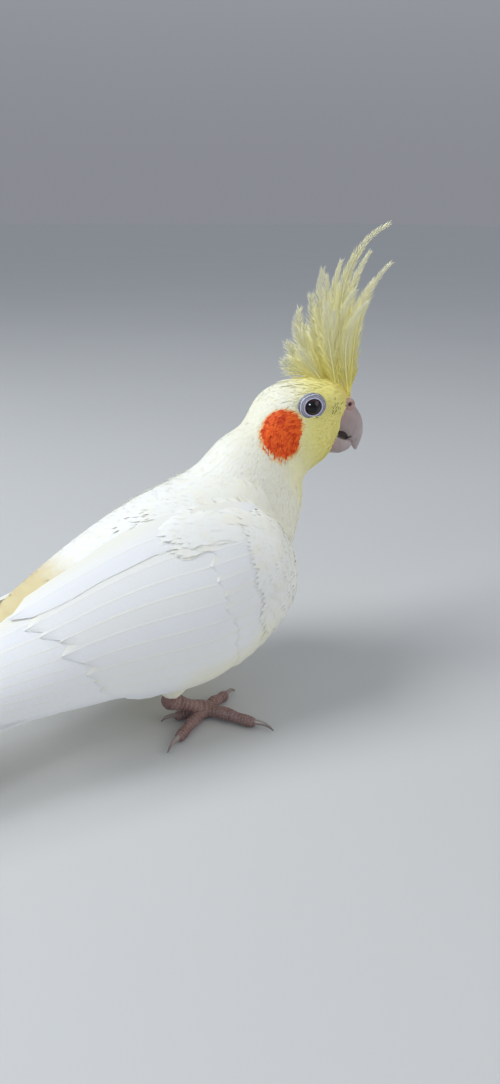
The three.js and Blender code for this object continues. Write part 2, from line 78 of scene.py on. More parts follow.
def headWay(x, y, z):
    return headTurn @ np.array((x, y, z), float)


def headPoint(x, y, z):
    return np.array(head["middle"]) + headWay(x, y, z)


def toHead(p):
    return (p - np.array(head["middle"])) @ headTurn


def fromHead(p):
    return np.array(head["middle"]) + np.asarray(p) @ headTurn.T


def metres(x, y, z, inHead=False):
    place = headPoint(x, y, z) if inHead else np.array((x, y, z), float)
    return tuple((place + birdOrigin) * 0.001)


def sideName(side):
    return "Right" if side < 0 else "Left"


def aroundCircle(count):
    return np.linspace(0, 2 * math.pi, count, endpoint=False)


def roundedEnd(t, start, span, least=0):
    # 1 along the way, falling in a round end
    return np.sqrt(np.clip(1 - (np.maximum(t - start, 0) / span) ** 2, least, 1))


def tableRows(rows, t):
    # the two rows that each place lies between, and its share of the way from one to the other
    rows = np.array(rows, float)
    place = t * (len(rows) - 1)
    whole = np.minimum(place.astype(int), len(rows) - 2)
    return rows[whole], rows[whole + 1], place - whole


# Meshes from arrays of points in millimetres

def newMesh(name, points, triangles):
    mesh = bpy.data.meshes.new(name)
    points = np.asarray(points, np.float32)
    triangles = np.asarray(triangles, np.int32)
    mesh.vertices.add(len(points))
    mesh.vertices.foreach_set("co", points.ravel())
    mesh.loops.add(triangles.size)
    mesh.loops.foreach_set("vertex_index", triangles.ravel())
    mesh.polygons.add(len(triangles))
    mesh.polygons.foreach_set("loop_start", np.arange(0, triangles.size, 3, dtype=np.int32))
    mesh.update(calc_edges=True)
    mesh.polygons.foreach_set("use_smooth", np.ones(len(triangles), bool))
    return mesh


def addAttribute(mesh, name, values):
    values = np.asarray(values, np.float32)
    kind = "FLOAT" if values.ndim == 1 else "FLOAT_VECTOR"
    layer = mesh.attributes.new(name, kind, "POINT")
    layer.data.foreach_set("value" if values.ndim == 1 else "vector", values.ravel())


def link(name, mesh):
    piece = bpy.data.objects.new(name, mesh)
    bpy.context.scene.collection.objects.link(piece)
    return piece


def makeObject(name, points, triangles, material, maps=None, attributes=None):
    triangles = np.asarray(triangles, np.int32)
    mesh = newMesh(name, (np.asarray(points) + birdOrigin) * 0.001, triangles)
    for key, values in (attributes or {}).items():
        addAttribute(mesh, key, values)
    for key, values in (maps or {}).items():
        layer = mesh.uv_layers.new(name=key)
        layer.uv.foreach_set("vector", np.asarray(values)[triangles.ravel()].astype(np.float32).ravel())
    mesh.materials.append(material)
    return link(name, mesh)


def settle(piece, slot, *nodes):
    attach(piece, body)
    if nodes:
        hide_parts(*nodes)
    return piece


def triangleCount(mesh):
    return len(mesh.loops) - 2 * len(mesh.polygons)


def gridTriangles(rows, columns, closed=False, ringed=False):
    # closed joins the last column to the first, and ringed the last row to the first
    i, j = np.meshgrid(np.arange(rows if ringed else rows - 1),
                       np.arange(columns if closed else columns - 1), indexing="ij")
    a = i * columns + j
    b = i * columns + (j + 1) % columns
    c, d = [(corner + columns) % (rows * columns) for corner in (a, b)]
    return np.stack([a, b, d, a, d, c], -1).reshape(-1, 3)


def outwards(points, triangles):
    corners = (points - points.mean(0))[triangles]
    volume = np.einsum("ij,ij->i", corners[:, 0], np.cross(corners[:, 1], corners[:, 2])).sum()
    return triangles if volume > 0 else triangles[:, ::-1]


def loft(rings):
    # a closed surface through rings of equal count, with a fan on each end
    count, sides, _ = rings.shape
    points = np.concatenate([rings.reshape(-1, 3), rings[:1].mean(1), rings[-1:].mean(1)])
    j = np.arange(sides)
    last = (count - 1) * sides
    first = np.stack([np.full(sides, count * sides), (j + 1) % sides, j], -1)
    second = np.stack([np.full(sides, count * sides + 1), last + j, last + (j + 1) % sides], -1)
    triangles = np.concatenate([gridTriangles(count, sides, True), first, second])
    return points, outwards(points, triangles)


def alongRings(values, sides, ends=(0, 1)):
    # a value for every point of a loft, given one for each ring and one for each end
    return np.concatenate([np.repeat(values, sides), ends])


def joinParts(parts):
    starts = np.cumsum([0] + [len(points) for points, _ in parts[:-1]])
    triangles = np.concatenate([part[1] + start for part, start in zip(parts, starts)])
    return np.concatenate([points for points, _ in parts]), triangles


def splineAt(points, t):
    # centripetal Catmull-Rom through the points
    p = np.asarray(points, float)
    p = np.concatenate([[2 * p[0] - p[1]], p, [2 * p[-1] - p[-2]]])
    spans = len(p) - 3
    t = np.clip(np.asarray(t, float), 0, 1) * spans
    k = np.minimum(t.astype(int), spans - 1)
    w = (t - k)[..., None]
    a, b, c, d = p[k], p[k + 1], p[k + 2], p[k + 3]
    gap = [np.maximum(np.linalg.norm(y - x, axis=-1, keepdims=True) ** 0.5, 1e-4)
           for x, y in ((a, b), (b, c), (c, d))]
    m1 = ((b - a) / gap[0] - (c - a) / (gap[0] + gap[1]) + (c - b) / gap[1]) * gap[1]
    m2 = ((c - b) / gap[1] - (d - b) / (gap[1] + gap[2]) + (d - c) / gap[2]) * gap[1]
    return (b + m1 * w + (3 * (c - b) - 2 * m1 - m2) * w ** 2
            + (2 * (b - c) + m1 + m2) * w ** 3)


def inChunks(points, job, size=2500):
    return np.concatenate([job(part) for part in np.array_split(points, len(points) // size + 1)])


def nearestOf(points, targets):
    return inChunks(points, lambda part: ((part[:, None] - targets[None]) ** 2).sum(-1).argmin(1))


# Node graphs: one method makes any node, and its value takes part in sums.

class Value:
    def __init__(self, graph, socket):
        self.graph, self.socket = graph, socket

    def __add__(self, other):
        return self.graph.maths("ADD", self, other)

    def __sub__(self, other):
        return self.graph.maths("SUBTRACT", self, other)

    def __rsub__(self, other):
        return self.graph.maths("SUBTRACT", other, self)

    def __mul__(self, other):
        return self.graph.maths("MULTIPLY", self, other)

    def __rtruediv__(self, other):
        return self.graph.maths("DIVIDE", other, self)

    def __pow__(self, other):
        return self.graph.maths("POWER", self, other)

    def output(self, name):
        return Value(self.graph, self.socket.node.outputs[name])


class Graph:
    def __init__(self, tree):
        self.tree = tree

    def add(self, kind, settings=None, inputs=(), output=0):
        node = self.tree.nodes.new(kind)
        for key, value in (settings or {}).items():
            setattr(node, key, value)
        for key, value in (inputs.items() if isinstance(inputs, dict) else enumerate(inputs)):
            if isinstance(value, Value):
                self.tree.links.new(value.socket, node.inputs[key])
            elif value is not None:
                node.inputs[key].default_value = value
        return Value(self, node.outputs[output]) if len(node.outputs) else None

    def maths(self, operation, first, second=None):
        return self.add("ShaderNodeMath", {"operation": operation}, [first, second])

    def ramp(self, value, low, high):
        return self.add("ShaderNodeMapRange", {"interpolation_type": "SMOOTHSTEP"},
                        {0: value, 1: low, 2: high, 3: 0.0, 4: 1.0})

    def colour(self, first, second, factor):
        sides = [(*c, 1) if isinstance(c, tuple) else c for c in (first, second)]
        return self.add("ShaderNodeMix", {"data_type": "RGBA"},
                        {0: factor, 6: sides[0], 7: sides[1]}, 2)

    def vector(self, operation, first, second=None, output=0):
        return self.add("ShaderNodeVectorMath", {"operation": operation}, [first, second], output)

    def scaled(self, value, factor):
        return self.add("ShaderNodeVectorMath", {"operation": "SCALE"}, {0: value, "Scale": factor})


class Shading(Graph):
    def __init__(self, name):
        self.material = bpy.data.materials.new(name)
        self.material.use_nodes = True
        super().__init__(self.material.node_tree)
        self.tree.nodes.clear()
        self.here = self.add("ShaderNodeTexCoord", {}, {}, "Object")

    def attribute(self, name, output="Fac"):
        return self.add("ShaderNodeAttribute", {"attribute_name": name}, {}, output)

    def near(self, place, centre, inner, outer):
        # 1 inside the inner radius and 0 past the outer one, in millimetres
        distance = self.vector("DISTANCE", place, centre, "Value")
        return 1.0 - self.ramp(distance, inner * 0.001, outer * 0.001)

    def noise(self, place, scale, detail=2.0):
        return self.add("ShaderNodeTexNoise", {}, {"Vector": place, "Scale": scale, "Detail": detail})

    def finish(self, colour, roughness, bump=None, strength=0.3, depth=0.0002, sockets=None):
        inputs = {"Base Color": (*colour, 1) if isinstance(colour, tuple) else colour,
                  "Roughness": roughness, **(sockets or {})}
        if bump is not None:
            inputs["Normal"] = self.add("ShaderNodeBump", {},
                                        {"Strength": strength, "Distance": depth, "Height": bump})
        shader = self.add("ShaderNodeBsdfPrincipled", {}, inputs)
        self.add("ShaderNodeOutputMaterial", {}, [shader])
        return self.material


plumage = {
    "white": (0.85, 0.86, 0.83),
    "cream": (0.86, 0.85, 0.70),
    "lemon": (0.86, 0.83, 0.50),
    "yellow": (0.86, 0.80, 0.28),
    "gold": (0.82, 0.66, 0.20),
    "ochre": (0.62, 0.49, 0.17),
    "orange": (0.95, 0.15, 0.014),
    "deepOrange": (0.66, 0.035, 0.005),
    "amber": (0.90, 0.50, 0.12),
    "cheek": ((-8.7, -6.4), (-9.2, -7.9)),  # x and z in the head of the patch's two middles
    "cheekRadius": (4.5, 8.0),
    "cheekOut": 10.5,
    "wingBand": ((15, 33), (5, 24), (-7, 21)),  # x and z of the faint yellow on the wings
    "wingBandOut": 24,
    "wingBandRadius": (3, 13),
    "vane": (0.83, 0.845, 0.86),
    "warmVane": (0.84, 0.84, 0.76),
    "vaneEdge": (0.80, 0.74, 0.42),
    "shaft": (0.84, 0.82, 0.72),
    "crestRoot": (0.88, 0.80, 0.24),
    "crestMiddle": (0.90, 0.86, 0.46),
    "crestTip": (0.90, 0.89, 0.68),
    # painted glow: emission in the feathers' own colour stands in for light that passes through thin
    # barbs
    "glow": 0.07,  # light that passes through thin barbs and keeps their shaded sides pale
}
washes = [  # colour, middle, whether that is in the head, inner and outer radius, and strength
    ("cream", (27, 0, 55), False, 14, 36, 0.9),
    ("lemon", (0, 0, 10), False, 10, 28, 0.7),
    ("ochre", (-52, 0, 48), False, 12, 26, 0.75),
    ("cream", (-3, 0, -6), True, 14, 34, 0.9),
    ("lemon", (2, 0, -17), True, 11, 20, 0.9),
    ("yellow", (9.5, 0, -6), True, 11.5, 20.5, 1.0),
    ("gold", (13.5, 0, 2.5), True, 2, 8.5, 0.6),
]


def wingTint(g, colour, place):
    # a faint yellow band along the lower front of each wing
    for side in (-1, 1):
        for x, z in plumage["wingBand"]:
            centre = metres(x, side * plumage["wingBandOut"], z)
            spot = g.near(place, centre, *plumage["wingBandRadius"]) * 0.4
            colour = g.colour(colour, plumage["lemon"], spot)
    return colour


def markings(g, place):
    # the colours of coat and skin: washes over white, then the cheeks
    p = plumage
    colour = p["white"]
    for name, middle, inHead, inner, outer, strength in washes:
        wash = g.near(place, metres(*middle, inHead), inner, outer) * strength
        colour = g.colour(colour, p[name], wash)
    wander = g.noise(place, 700.0)
    patch = g.colour(p["orange"], p["deepOrange"], g.ramp(wander, 0.42, 0.66) * 0.8)
    for side in (-1, 1):
        spots = [g.near(place, metres(x, side * p["cheekOut"], z, True), *p["cheekRadius"])
                 for x, z in p["cheek"]]
        spot = g.maths("MAXIMUM", *spots) * (wander + 0.6)
        colour = g.colour(colour, p["amber"], g.ramp(spot, 0.08, 0.5) * 0.75)
        colour = g.colour(colour, patch, g.ramp(spot, 0.4, 0.75))
    return colour


# sheen, and a painted glow: the surface emits faintly in its own colour
def downyGlow(colour):
    return {"Sheen Weight": 0.12, "Sheen Roughness": 0.5, "Specular IOR Level": 0.25,
            "Emission Color": colour, "Emission Strength": plumage["glow"]}


def coatShading(name, byRoot):
    g = Shading(name)
    place = g.here
    if byRoot:  # a tuft takes its colour from its root and from its own place, about half each
        place = g.vector("ADD", g.scaled(g.attribute("root", "Vector"), 0.55), g.scaled(place, 0.45))
    colour = wingTint(g, markings(g, place), place)
    if byRoot:
        colour = g.colour(g.scaled(colour, 0.86), colour, g.ramp(g.attribute("along"), 0.0, 0.6))
        warm = g.vector("MULTIPLY", colour, (1.0, 0.975, 0.90))
        colour = g.colour(colour, warm, g.ramp(g.attribute("shade"), 0.5, 1.0) * 0.7)
    grain = g.noise(g.here, 1600.0, 3.0)
    return g.finish(colour, 0.65, grain, 0.25, 0.0001, downyGlow(colour))


def wingShading(name):
    g = Shading(name)
    root = g.attribute("root", "Vector")
    across = g.add("ShaderNodeSeparateXYZ", {}, [g.add("ShaderNodeUVMap", {"uv_map": "vane"})])
    along = across.output("Y")
    middle = g.maths("ABSOLUTE", across - 0.5)
    barbs = g.maths("SINE", (along - middle * 0.16) * 700.0)
    shaft = 1.0 - g.ramp(middle, 0.012, 0.045)
    upperEdge = 1.0 - g.ramp(across, 0.05, 0.62)
    warmth = g.ramp(g.noise(root, 120.0), 0.45, 0.75) * 0.4
    colour = wingTint(g, g.colour(plumage["vane"], plumage["warmVane"], warmth), g.here)
    colour = g.colour(colour, plumage["vaneEdge"], upperEdge * g.ramp(along, 0.1, 0.7) * 0.3)
    colour = g.colour(colour, plumage["shaft"], shaft * 0.25)
    bump = barbs * 0.35 + shaft * 1.6 + g.noise(g.here, 900.0) * 1.2
    return g.finish(colour, 0.58, bump, 0.2, 0.0001, downyGlow(colour))


def crestShading(name):
    g = Shading(name)
    along = g.attribute("along")
    colour = g.colour(plumage["crestRoot"], plumage["crestMiddle"], g.ramp(along, 0.08, 0.5))
    colour = g.colour(colour, plumage["crestTip"], g.ramp(along, 0.45, 1.0) * 0.85)
    return g.finish(colour, 0.6, g.noise(g.here, 1600.0), 0.2, 0.0001, downyGlow(colour))


coatMaterial = coatShading("coatFeathers", True)
skinMaterial = coatShading("underDown", False)
wingMaterial = wingShading("wingFeathers")
crestMaterial = crestShading("crestFeathers")
print("materials ready")

# The body's form: a soft union of blobs, each with a centre, radii, nose-up pitch and blend.

blobs = [
    {"at": (-1, 0, 48), "radii": (37.5, 22, 25.5), "pitch": 22, "blend": 0},  # chest and back
    {"at": (1, 0, 37), "radii": (32, 19.5, 21), "pitch": 8, "blend": 10},  # belly
    {"at": (20, 0, 57.5), "radii": (15.5, 16, 17.5), "pitch": 50, "blend": 12},  # breast
    {"at": (28, 0, 72), "radii": (12.5, 12.5, 17.5), "pitch": 42, "blend": 12},  # neck
    {"at": (-30, 0, 45.5), "radii": (30, 15, 15), "pitch": 14, "blend": 14},  # rump
    {"at": (-46, 0, 37.5), "radii": (30, 9.5, 8), "pitch": 6, "blend": 10},  # under the tail
    {"head": (-5.4, 0, -7.2), "radii": (13.4, 11.2, 13.4), "blend": 9},  # skull
    {"head": (3.5, 0, -3.4), "radii": (10.4, 8.4, 10.4), "blend": 5},  # face
    {"head": (8.5, 0, -0.4), "radii": (6.8, 5.2, 6.2), "blend": 4},  # forehead
    {"head": (-1, 0, -12.5), "radii": (10.2, 9.6, 8.6), "blend": 6},  # chin
]
for side in (-1, 1):
    blobs.append({"at": (-6, side * 11.2, 25.5), "radii": (9.5, 8.4, 11), "pitch": -12, "blend": 5})
    blobs.append({"at": (-10.8, side * 12.9, 16), "radii": (4.4, 4.0, 6.5), "pitch": -22, "blend": 5})

for blob in blobs:
    inHead = "head" in blob
    blob["centre"] = headPoint(*blob["head"]) if inHead else np.array(blob["at"], float)
    blob["axes"] = turnMatrix(blob.get("pitch", 0), head["turn"] if inHead else 0)


def bodyField(p):
    # roughly the distance outside the body
    field = None
    for blob in blobs:
        radii = np.array(blob["radii"])
        q = ((p - blob["centre"]) @ blob["axes"]) / radii
        reach = np.linalg.norm(q, axis=-1)
        slope = np.maximum(np.linalg.norm(q / radii, axis=-1), 1e-9)
        distance = reach * (reach - 1) / slope
        if field is None:
            field = distance
        else:
            close = np.maximum(blob["blend"] - np.abs(field - distance), 0) / blob["blend"]
            field = np.minimum(field, distance) - close ** 2 * blob["blend"] / 4
    return field


def onBody(p, level, rounds):
    for _ in range(rounds):
        slope = np.stack([bodyField(p + s) - bodyField(p - s) for s in np.eye(3) * 0.05], -1)
        p = p - unit(slope) * (bodyField(p) - level)[..., None]
    return p


def bodyEdge(start, direction):
    # how far along a ray the body ends
    reach = np.linspace(1, 30, 600)
    field = bodyField(start + reach[:, None] * direction)
    return reach[np.argmax(field > 0)]


# Wings: a curved sheet from the bend to the tip (u) and from the upper edge to the lower (v).

wing = {"gapRight": 6.5, "gapLeft": 9.0, "leftDrop": (5.5, 11.5, 7.5),
        "bulge": (1.5, 8.8, 12.5, 9, 4, 0.5)}


class WingSheet:
    def __init__(self, side):
        self.side = side
        self.name = sideName(side)
        gap = wing["gap" + self.name]
        drop = (0, 0, 0) if side < 0 else wing["leftDrop"]
        self.upper = [(25, -21.5, 53), (15, -17.5, 69.5 - drop[0]), (-6, -gap - 4, 72 - drop[1]),
                      (-42, -gap, 58 - drop[2]), (-88, -gap - 2, 39), (-136, -gap - 6.5, 20)]
        self.lower = [(25, -22, 51), (18, -22.5, 33), (-3, -21.5, 20), (-42, -21, 24),
                      (-88, -18, 26.5), (-137, -gap - 8.5, 17.5)]

    def point(self, u, v):
        u, v = np.broadcast_arrays(np.asarray(u, float), np.asarray(v, float))
        u = np.clip(u, 0, 1)
        top, bottom = splineAt(self.upper, u), splineAt(self.lower, u)
        before, after, share = tableRows(wing["bulge"], u)
        swell = mix(before, after, smooth(share, 0, 1))
        p = top + (bottom - top) * v[..., None]
        p[..., 1] -= np.maximum(4 * v * (1 - v), 0) ** 0.75 * swell
        p[..., 1] *= -self.side
        return p

    def slopes(self, u, v, small=0.01):
        along = self.point(np.minimum(u + small, 1), v) - self.point(np.maximum(u - small, 0.001), v)
        down = self.point(u, np.minimum(v + small, 1)) - self.point(u, np.maximum(v - small, 0))
        return along, down

    def normal(self, u, v):
        along, down = self.slopes(u, v)
        return unit(np.cross(down, along)) * self.side


sheets = [WingSheet(-1), WingSheet(1)]


def coreHeight(u):
    return 1.6 * (1 - smooth(u, 0.08, 0.4)) - 0.9 * smooth(u, 0.4, 0.6)


def wingCore(sheet):
    # the flesh under the wing's sheet, which thins out towards the long feathers
    u = np.linspace(0.008, 0.58, 30)[:, None]
    v = np.linspace(0, 1, 18)[None]
    closing = 1 - smooth(u, 0.42, 0.58)
    rim = np.sqrt(np.clip(1 - (2 * v - 1) ** 4, 0, 1))
    margin = mix(0.2, 0.035, closing)
    vv = margin + (1 - 2 * margin) * v
    uu = u + 0 * v
    normal, place = sheet.normal(uu, vv), sheet.point(uu, vv)
    depth = mix(0.8, 6.5, closing) * np.minimum(1, 0.3 + u * 9)
    outer = place + normal * (coreHeight(uu) - 1.1 + 0.7 * rim - 0.6 * (1 - closing))[..., None]
    inner = place + normal * (coreHeight(uu) - 1.7 - depth * rim)[..., None]
    return loft(np.concatenate([outer, inner[:, ::-1]], 1))


# One skin for the whole bird: the blobs, drawn in by the coat's depth, joined to the wings' flesh.

skin = {"inset": 1.0, "voxel": 1.1, "smoothing": 5}


def meshArrays(mesh):
    points = np.empty(len(mesh.vertices) * 3, np.float32)
    mesh.vertices.foreach_get("co", points)
    mesh.calc_loop_triangles()
    triangles = np.empty(len(mesh.loop_triangles) * 3, np.int32)
    mesh.loop_triangles.foreach_get("vertices", triangles)
    return points.reshape(-1, 3).astype(float), triangles.reshape(-1, 3)


def evaluated(piece, name):
    # the piece with its modifiers applied, as a plain mesh
    mesh = bpy.data.meshes.new_from_object(piece.evaluated_get(bpy.context.evaluated_depsgraph_get()))
    mesh.name = name
    return mesh


def voxelUnion(parts, name, smoothing=0):
    piece = link(name, newMesh(name, *joinParts(parts)))
    remesh = piece.modifiers.new("remesh", "REMESH")
    remesh.mode = "VOXEL"
    remesh.voxel_size = skin["voxel"]
    if smoothing:
        soften = piece.modifiers.new("soften", "SMOOTH")
        soften.iterations = smoothing
        soften.factor = 0.5
    mesh = evaluated(piece, name)
    arrays = meshArrays(mesh)
    bpy.data.objects.remove(piece)
    bpy.data.meshes.remove(mesh)
    return arrays


def ball(subdivisions):
    bpy.ops.mesh.primitive_ico_sphere_add(subdivisions=subdivisions, radius=1)
    piece = bpy.context.object
    arrays = meshArrays(piece.data)
    bpy.data.objects.remove(piece)
    return arrays


def makeSkin():
    spherePoints, sphereTriangles = ball(4)
    parts = [((spherePoints * blob["radii"]) @ blob["axes"].T + blob["centre"], sphereTriangles)
             for blob in blobs]
    points, triangles = voxelUnion(parts, "bodyForm")
    points = onBody(points, -skin["inset"], 5)
    return voxelUnion([(points, triangles)] + [wingCore(sheet) for sheet in sheets],
                      "wholeForm", skin["smoothing"])


skinPoints, skinTriangles = makeSkin()
print("skin", len(skinTriangles), "triangles")

# The lie of the coat follows a line from the bill, over the head and neck, to the tail, and on a
# wing the sheet's own direction.

lieLine = [headPoint(16, 0, -5), headPoint(4, 0, -3), headPoint(-7, 0, -6)] + [
    np.array(p, float) for p in ((27, 0, 74), (16, 0, 61), (-2, 0, 50), (-22, 0, 44.5),
                                 (-42, 0, 42), (-70, 0, 37.5), (-120, 0, 24))]
liePoints = splineAt(lieLine, np.linspace(0, 1, 300))
lieLengths = np.concatenate([[0], np.cumsum(np.linalg.norm(np.diff(liePoints, axis=0), axis=1))])
lieTangents = unit(np.gradient(liePoints, axis=0))

sheetU, sheetV = np.meshgrid(np.linspace(0.01, 0.66, 80), np.linspace(0.0, 1.0, 36))
sheetSamples = np.concatenate([s.point(sheetU, sheetV).reshape(-1, 3) for s in sheets])
sheetFlow = unit(np.concatenate([s.slopes(sheetU, sheetV)[0].reshape(-1, 3) for s in sheets]))

nearestLie = nearestOf(skinPoints, liePoints)
reach, tangent = lieLengths[nearestLie], lieTangents[nearestLie]
across = unit(np.cross((0, 0, 1.0), tangent))
arm = skinPoints - liePoints[nearestLie]
angle = np.arctan2((arm * np.cross(tangent, across)).sum(-1), (arm * across).sum(-1))
unwrap = np.stack([0.03 + 0.94 * reach / lieLengths[-1], 0.5 + 0.47 * angle / math.pi, 0 * angle], -1)
nearestSheet = nearestOf(skinPoints, sheetSamples)
wingAway = np.linalg.norm(skinPoints - sheetSamples[nearestSheet], axis=-1)
wingU, wingV = np.tile(sheetU.ravel(), 2)[nearestSheet], np.tile(sheetV.ravel(), 2)[nearestSheet]
onWing = 1 - smooth(wingAway, 2.2, 3.4)
flow = unit(mix(tangent, sheetFlow[nearestSheet], (1 - smooth(wingAway, 2.5, 7.0))[:, None]))

# What stays bare: a radius round each eye, and an ellipsoid round the bill
bareSkin = {"eye": 4.2, "bill": (13.3, 0, -7.4), "billRadii": (4.4, 6.2, 8.6)}

headPlaces = toHead(skinPoints)
folded = headPlaces * (1, 0, 1) + np.abs(headPlaces) * (0, 1, 0)  # the left half laid over the right
eyeAway = np.minimum(*[np.linalg.norm(skinPoints - (nodeCentre(n) - birdOrigin), axis=-1)
                       for n in ("eye_right", "eye_left")])
billAway = np.linalg.norm((headPlaces - bareSkin["bill"]) / bareSkin["billRadii"], axis=-1)
bare = (eyeAway < bareSkin["eye"]) | (billAway < 1)
cheekAway = np.min([np.linalg.norm(folded - (x, plumage["cheekOut"], z), axis=-1)
                    for x, z in plumage["cheek"]], axis=0)
browShare = (smooth(headPlaces[:, 2], 3.5, 6.0) * smooth(headPlaces[:, 0], -6, -1)
             * (1 - smooth(folded[:, 1], 2.6, 4.6)))


def band(low, high, soft=3.0):
    return smooth(reach, low - soft, low) * (1 - smooth(reach, high, high + soft))


dress = (~bare) * (1 - onWing)
lowOnBody = smooth(skinPoints[:, 2], 40, 34)
cheekShare = 1 - smooth(cheekAway, 5.8, 7.0)
zones = {
    "face": band(-9, 15) * dress * (1 - cheekShare * 0.7),
    "crown": band(15, 32) * dress * (1 - cheekShare * 0.7),
    "cheek": cheekShare * dress,
    "brow": browShare * dress,
    "neck": band(32, 60) * dress,
    "mantle": band(60, 200, 5) * dress * (1 - lowOnBody),
    "belly": band(60, 200, 5) * dress * lowOnBody,
    "shoulder": onWing * (1 - smooth(wingU, 0.20, 0.26)),
    "scapular": (smooth(wingU, 0.06, 0.12) * (1 - smooth(wingU, 0.34, 0.46))
                 * (1 - smooth(wingV, 0.10, 0.26)) * (1 - smooth(wingAway, 3.0, 7.0))),
}
skinMesh = newMesh("bodySkin", (skinPoints + birdOrigin) * 0.001, skinTriangles)
skinNormals = np.empty(len(skinPoints) * 3, np.float32)
skinMesh.vertices.foreach_get("normal", skinNormals)
guides = {"lie": flow, "unwrap": unwrap, "outward": skinNormals.reshape(-1, 3),
          "fine": 0.55 + 0.45 * smooth(eyeAway, 4, 9) * smooth(billAway, 1, 2.2), **zones}
guideMesh = skinMesh.copy()
for name, values in guides.items():
    addAttribute(guideMesh, name, values)
skinMesh.materials.append(skinMaterial)
fleshNodes = ("head", "neck", "torso", "thigh_right", "thigh_left", "wing_right", "wing_left")
settle(link("bodySkin", skinMesh), "feathers_white", *fleshNodes)

# Tufts of unit length: a lock of barbs, and a small feather whose end is split.

lock = {"plan": [(0, 0), (0.4, -0.5), (0.4, 0.5), (0.75, -0.36), (0.75, 0.36), (1, 0), (0.4, 0),
                 (0.75, 0)],
        "top": [(0, 1, 6), (0, 6, 2), (1, 3, 7), (1, 7, 6), (6, 7, 4), (6, 4, 2), (3, 5, 7), (7, 5, 4)],
        "rim": [0, 1, 3, 5, 4, 2], "raised": (6, 7)}
smallFeather = {"plan": [(0, -0.12), (0, 0.12), (0.45, -0.42), (0.45, 0.42), (0.76, -0.5),
                         (0.78, -0.17), (0.78, 0.17), (0.76, 0.5), (0.93, -0.38), (1.0, 0),
                         (0.93, 0.38), (0.45, -0.14), (0.45, 0.14)],
                "top": [(0, 2, 11), (0, 11, 12), (0, 12, 1), (1, 12, 3), (2, 4, 5), (2, 5, 11),
                        (11, 5, 6), (11, 6, 12), (12, 6, 7), (12, 7, 3), (4, 8, 5), (5, 9, 6),
                        (6, 10, 7)],
                "rim": [0, 2, 4, 8, 5, 9, 6, 10, 7, 3, 1], "raised": (11, 12, 5, 6)}


def makeTuft(name, shape):
    rim = shape["rim"]
    under = [(rim[0], rim[k + 1], rim[k]) for k in range(1, len(rim) - 1)]
    raised = [float(i in shape["raised"]) for i in range(len(shape["plan"]))]
    points = np.array([(x, y, 0.15 * up) for (x, y), up in zip(shape["plan"], raised)])
    mesh = newMesh(name, points, outwards(points, np.array(shape["top"] + under)))
    edges = {frozenset(pair) for pair in zip(rim, rim[1:] + rim[:1])}
    # sharp edges part the top's shading from the underside's
    sharp = mesh.attributes.new("sharp_edge", "BOOLEAN", "EDGE")
    sharp.data.foreach_set("value", [frozenset(edge.vertices) in edges for edge in mesh.edges])
    addAttribute(mesh, "along", points[:, 0])
    addAttribute(mesh, "ridge", raised)
    addAttribute(mesh, "patch", np.stack([points[:, 0] - 0.5, points[:, 1], 0 * points[:, 0]], -1))
    return link(name, mesh)


tufts = {"lock": makeTuft("lock", lock), "feather": makeTuft("smallFeather", smallFeather)}

coatInputs = {"Skin": "Geometry", "Tuft": "Object", "Zone": "String", "Spacing": "Float",
              "Length": "Float", "Width": "Float", "Thickness": "Float", "Base": "Float",
              "Lift": "Float", "Curl": "Float", "Twist": "Float", "Softness": "Float", "Seed": "Int",
              "Material": "Material"}
bakePatch = 0.003  # the size of one tuft or vane in the unwrapped picture


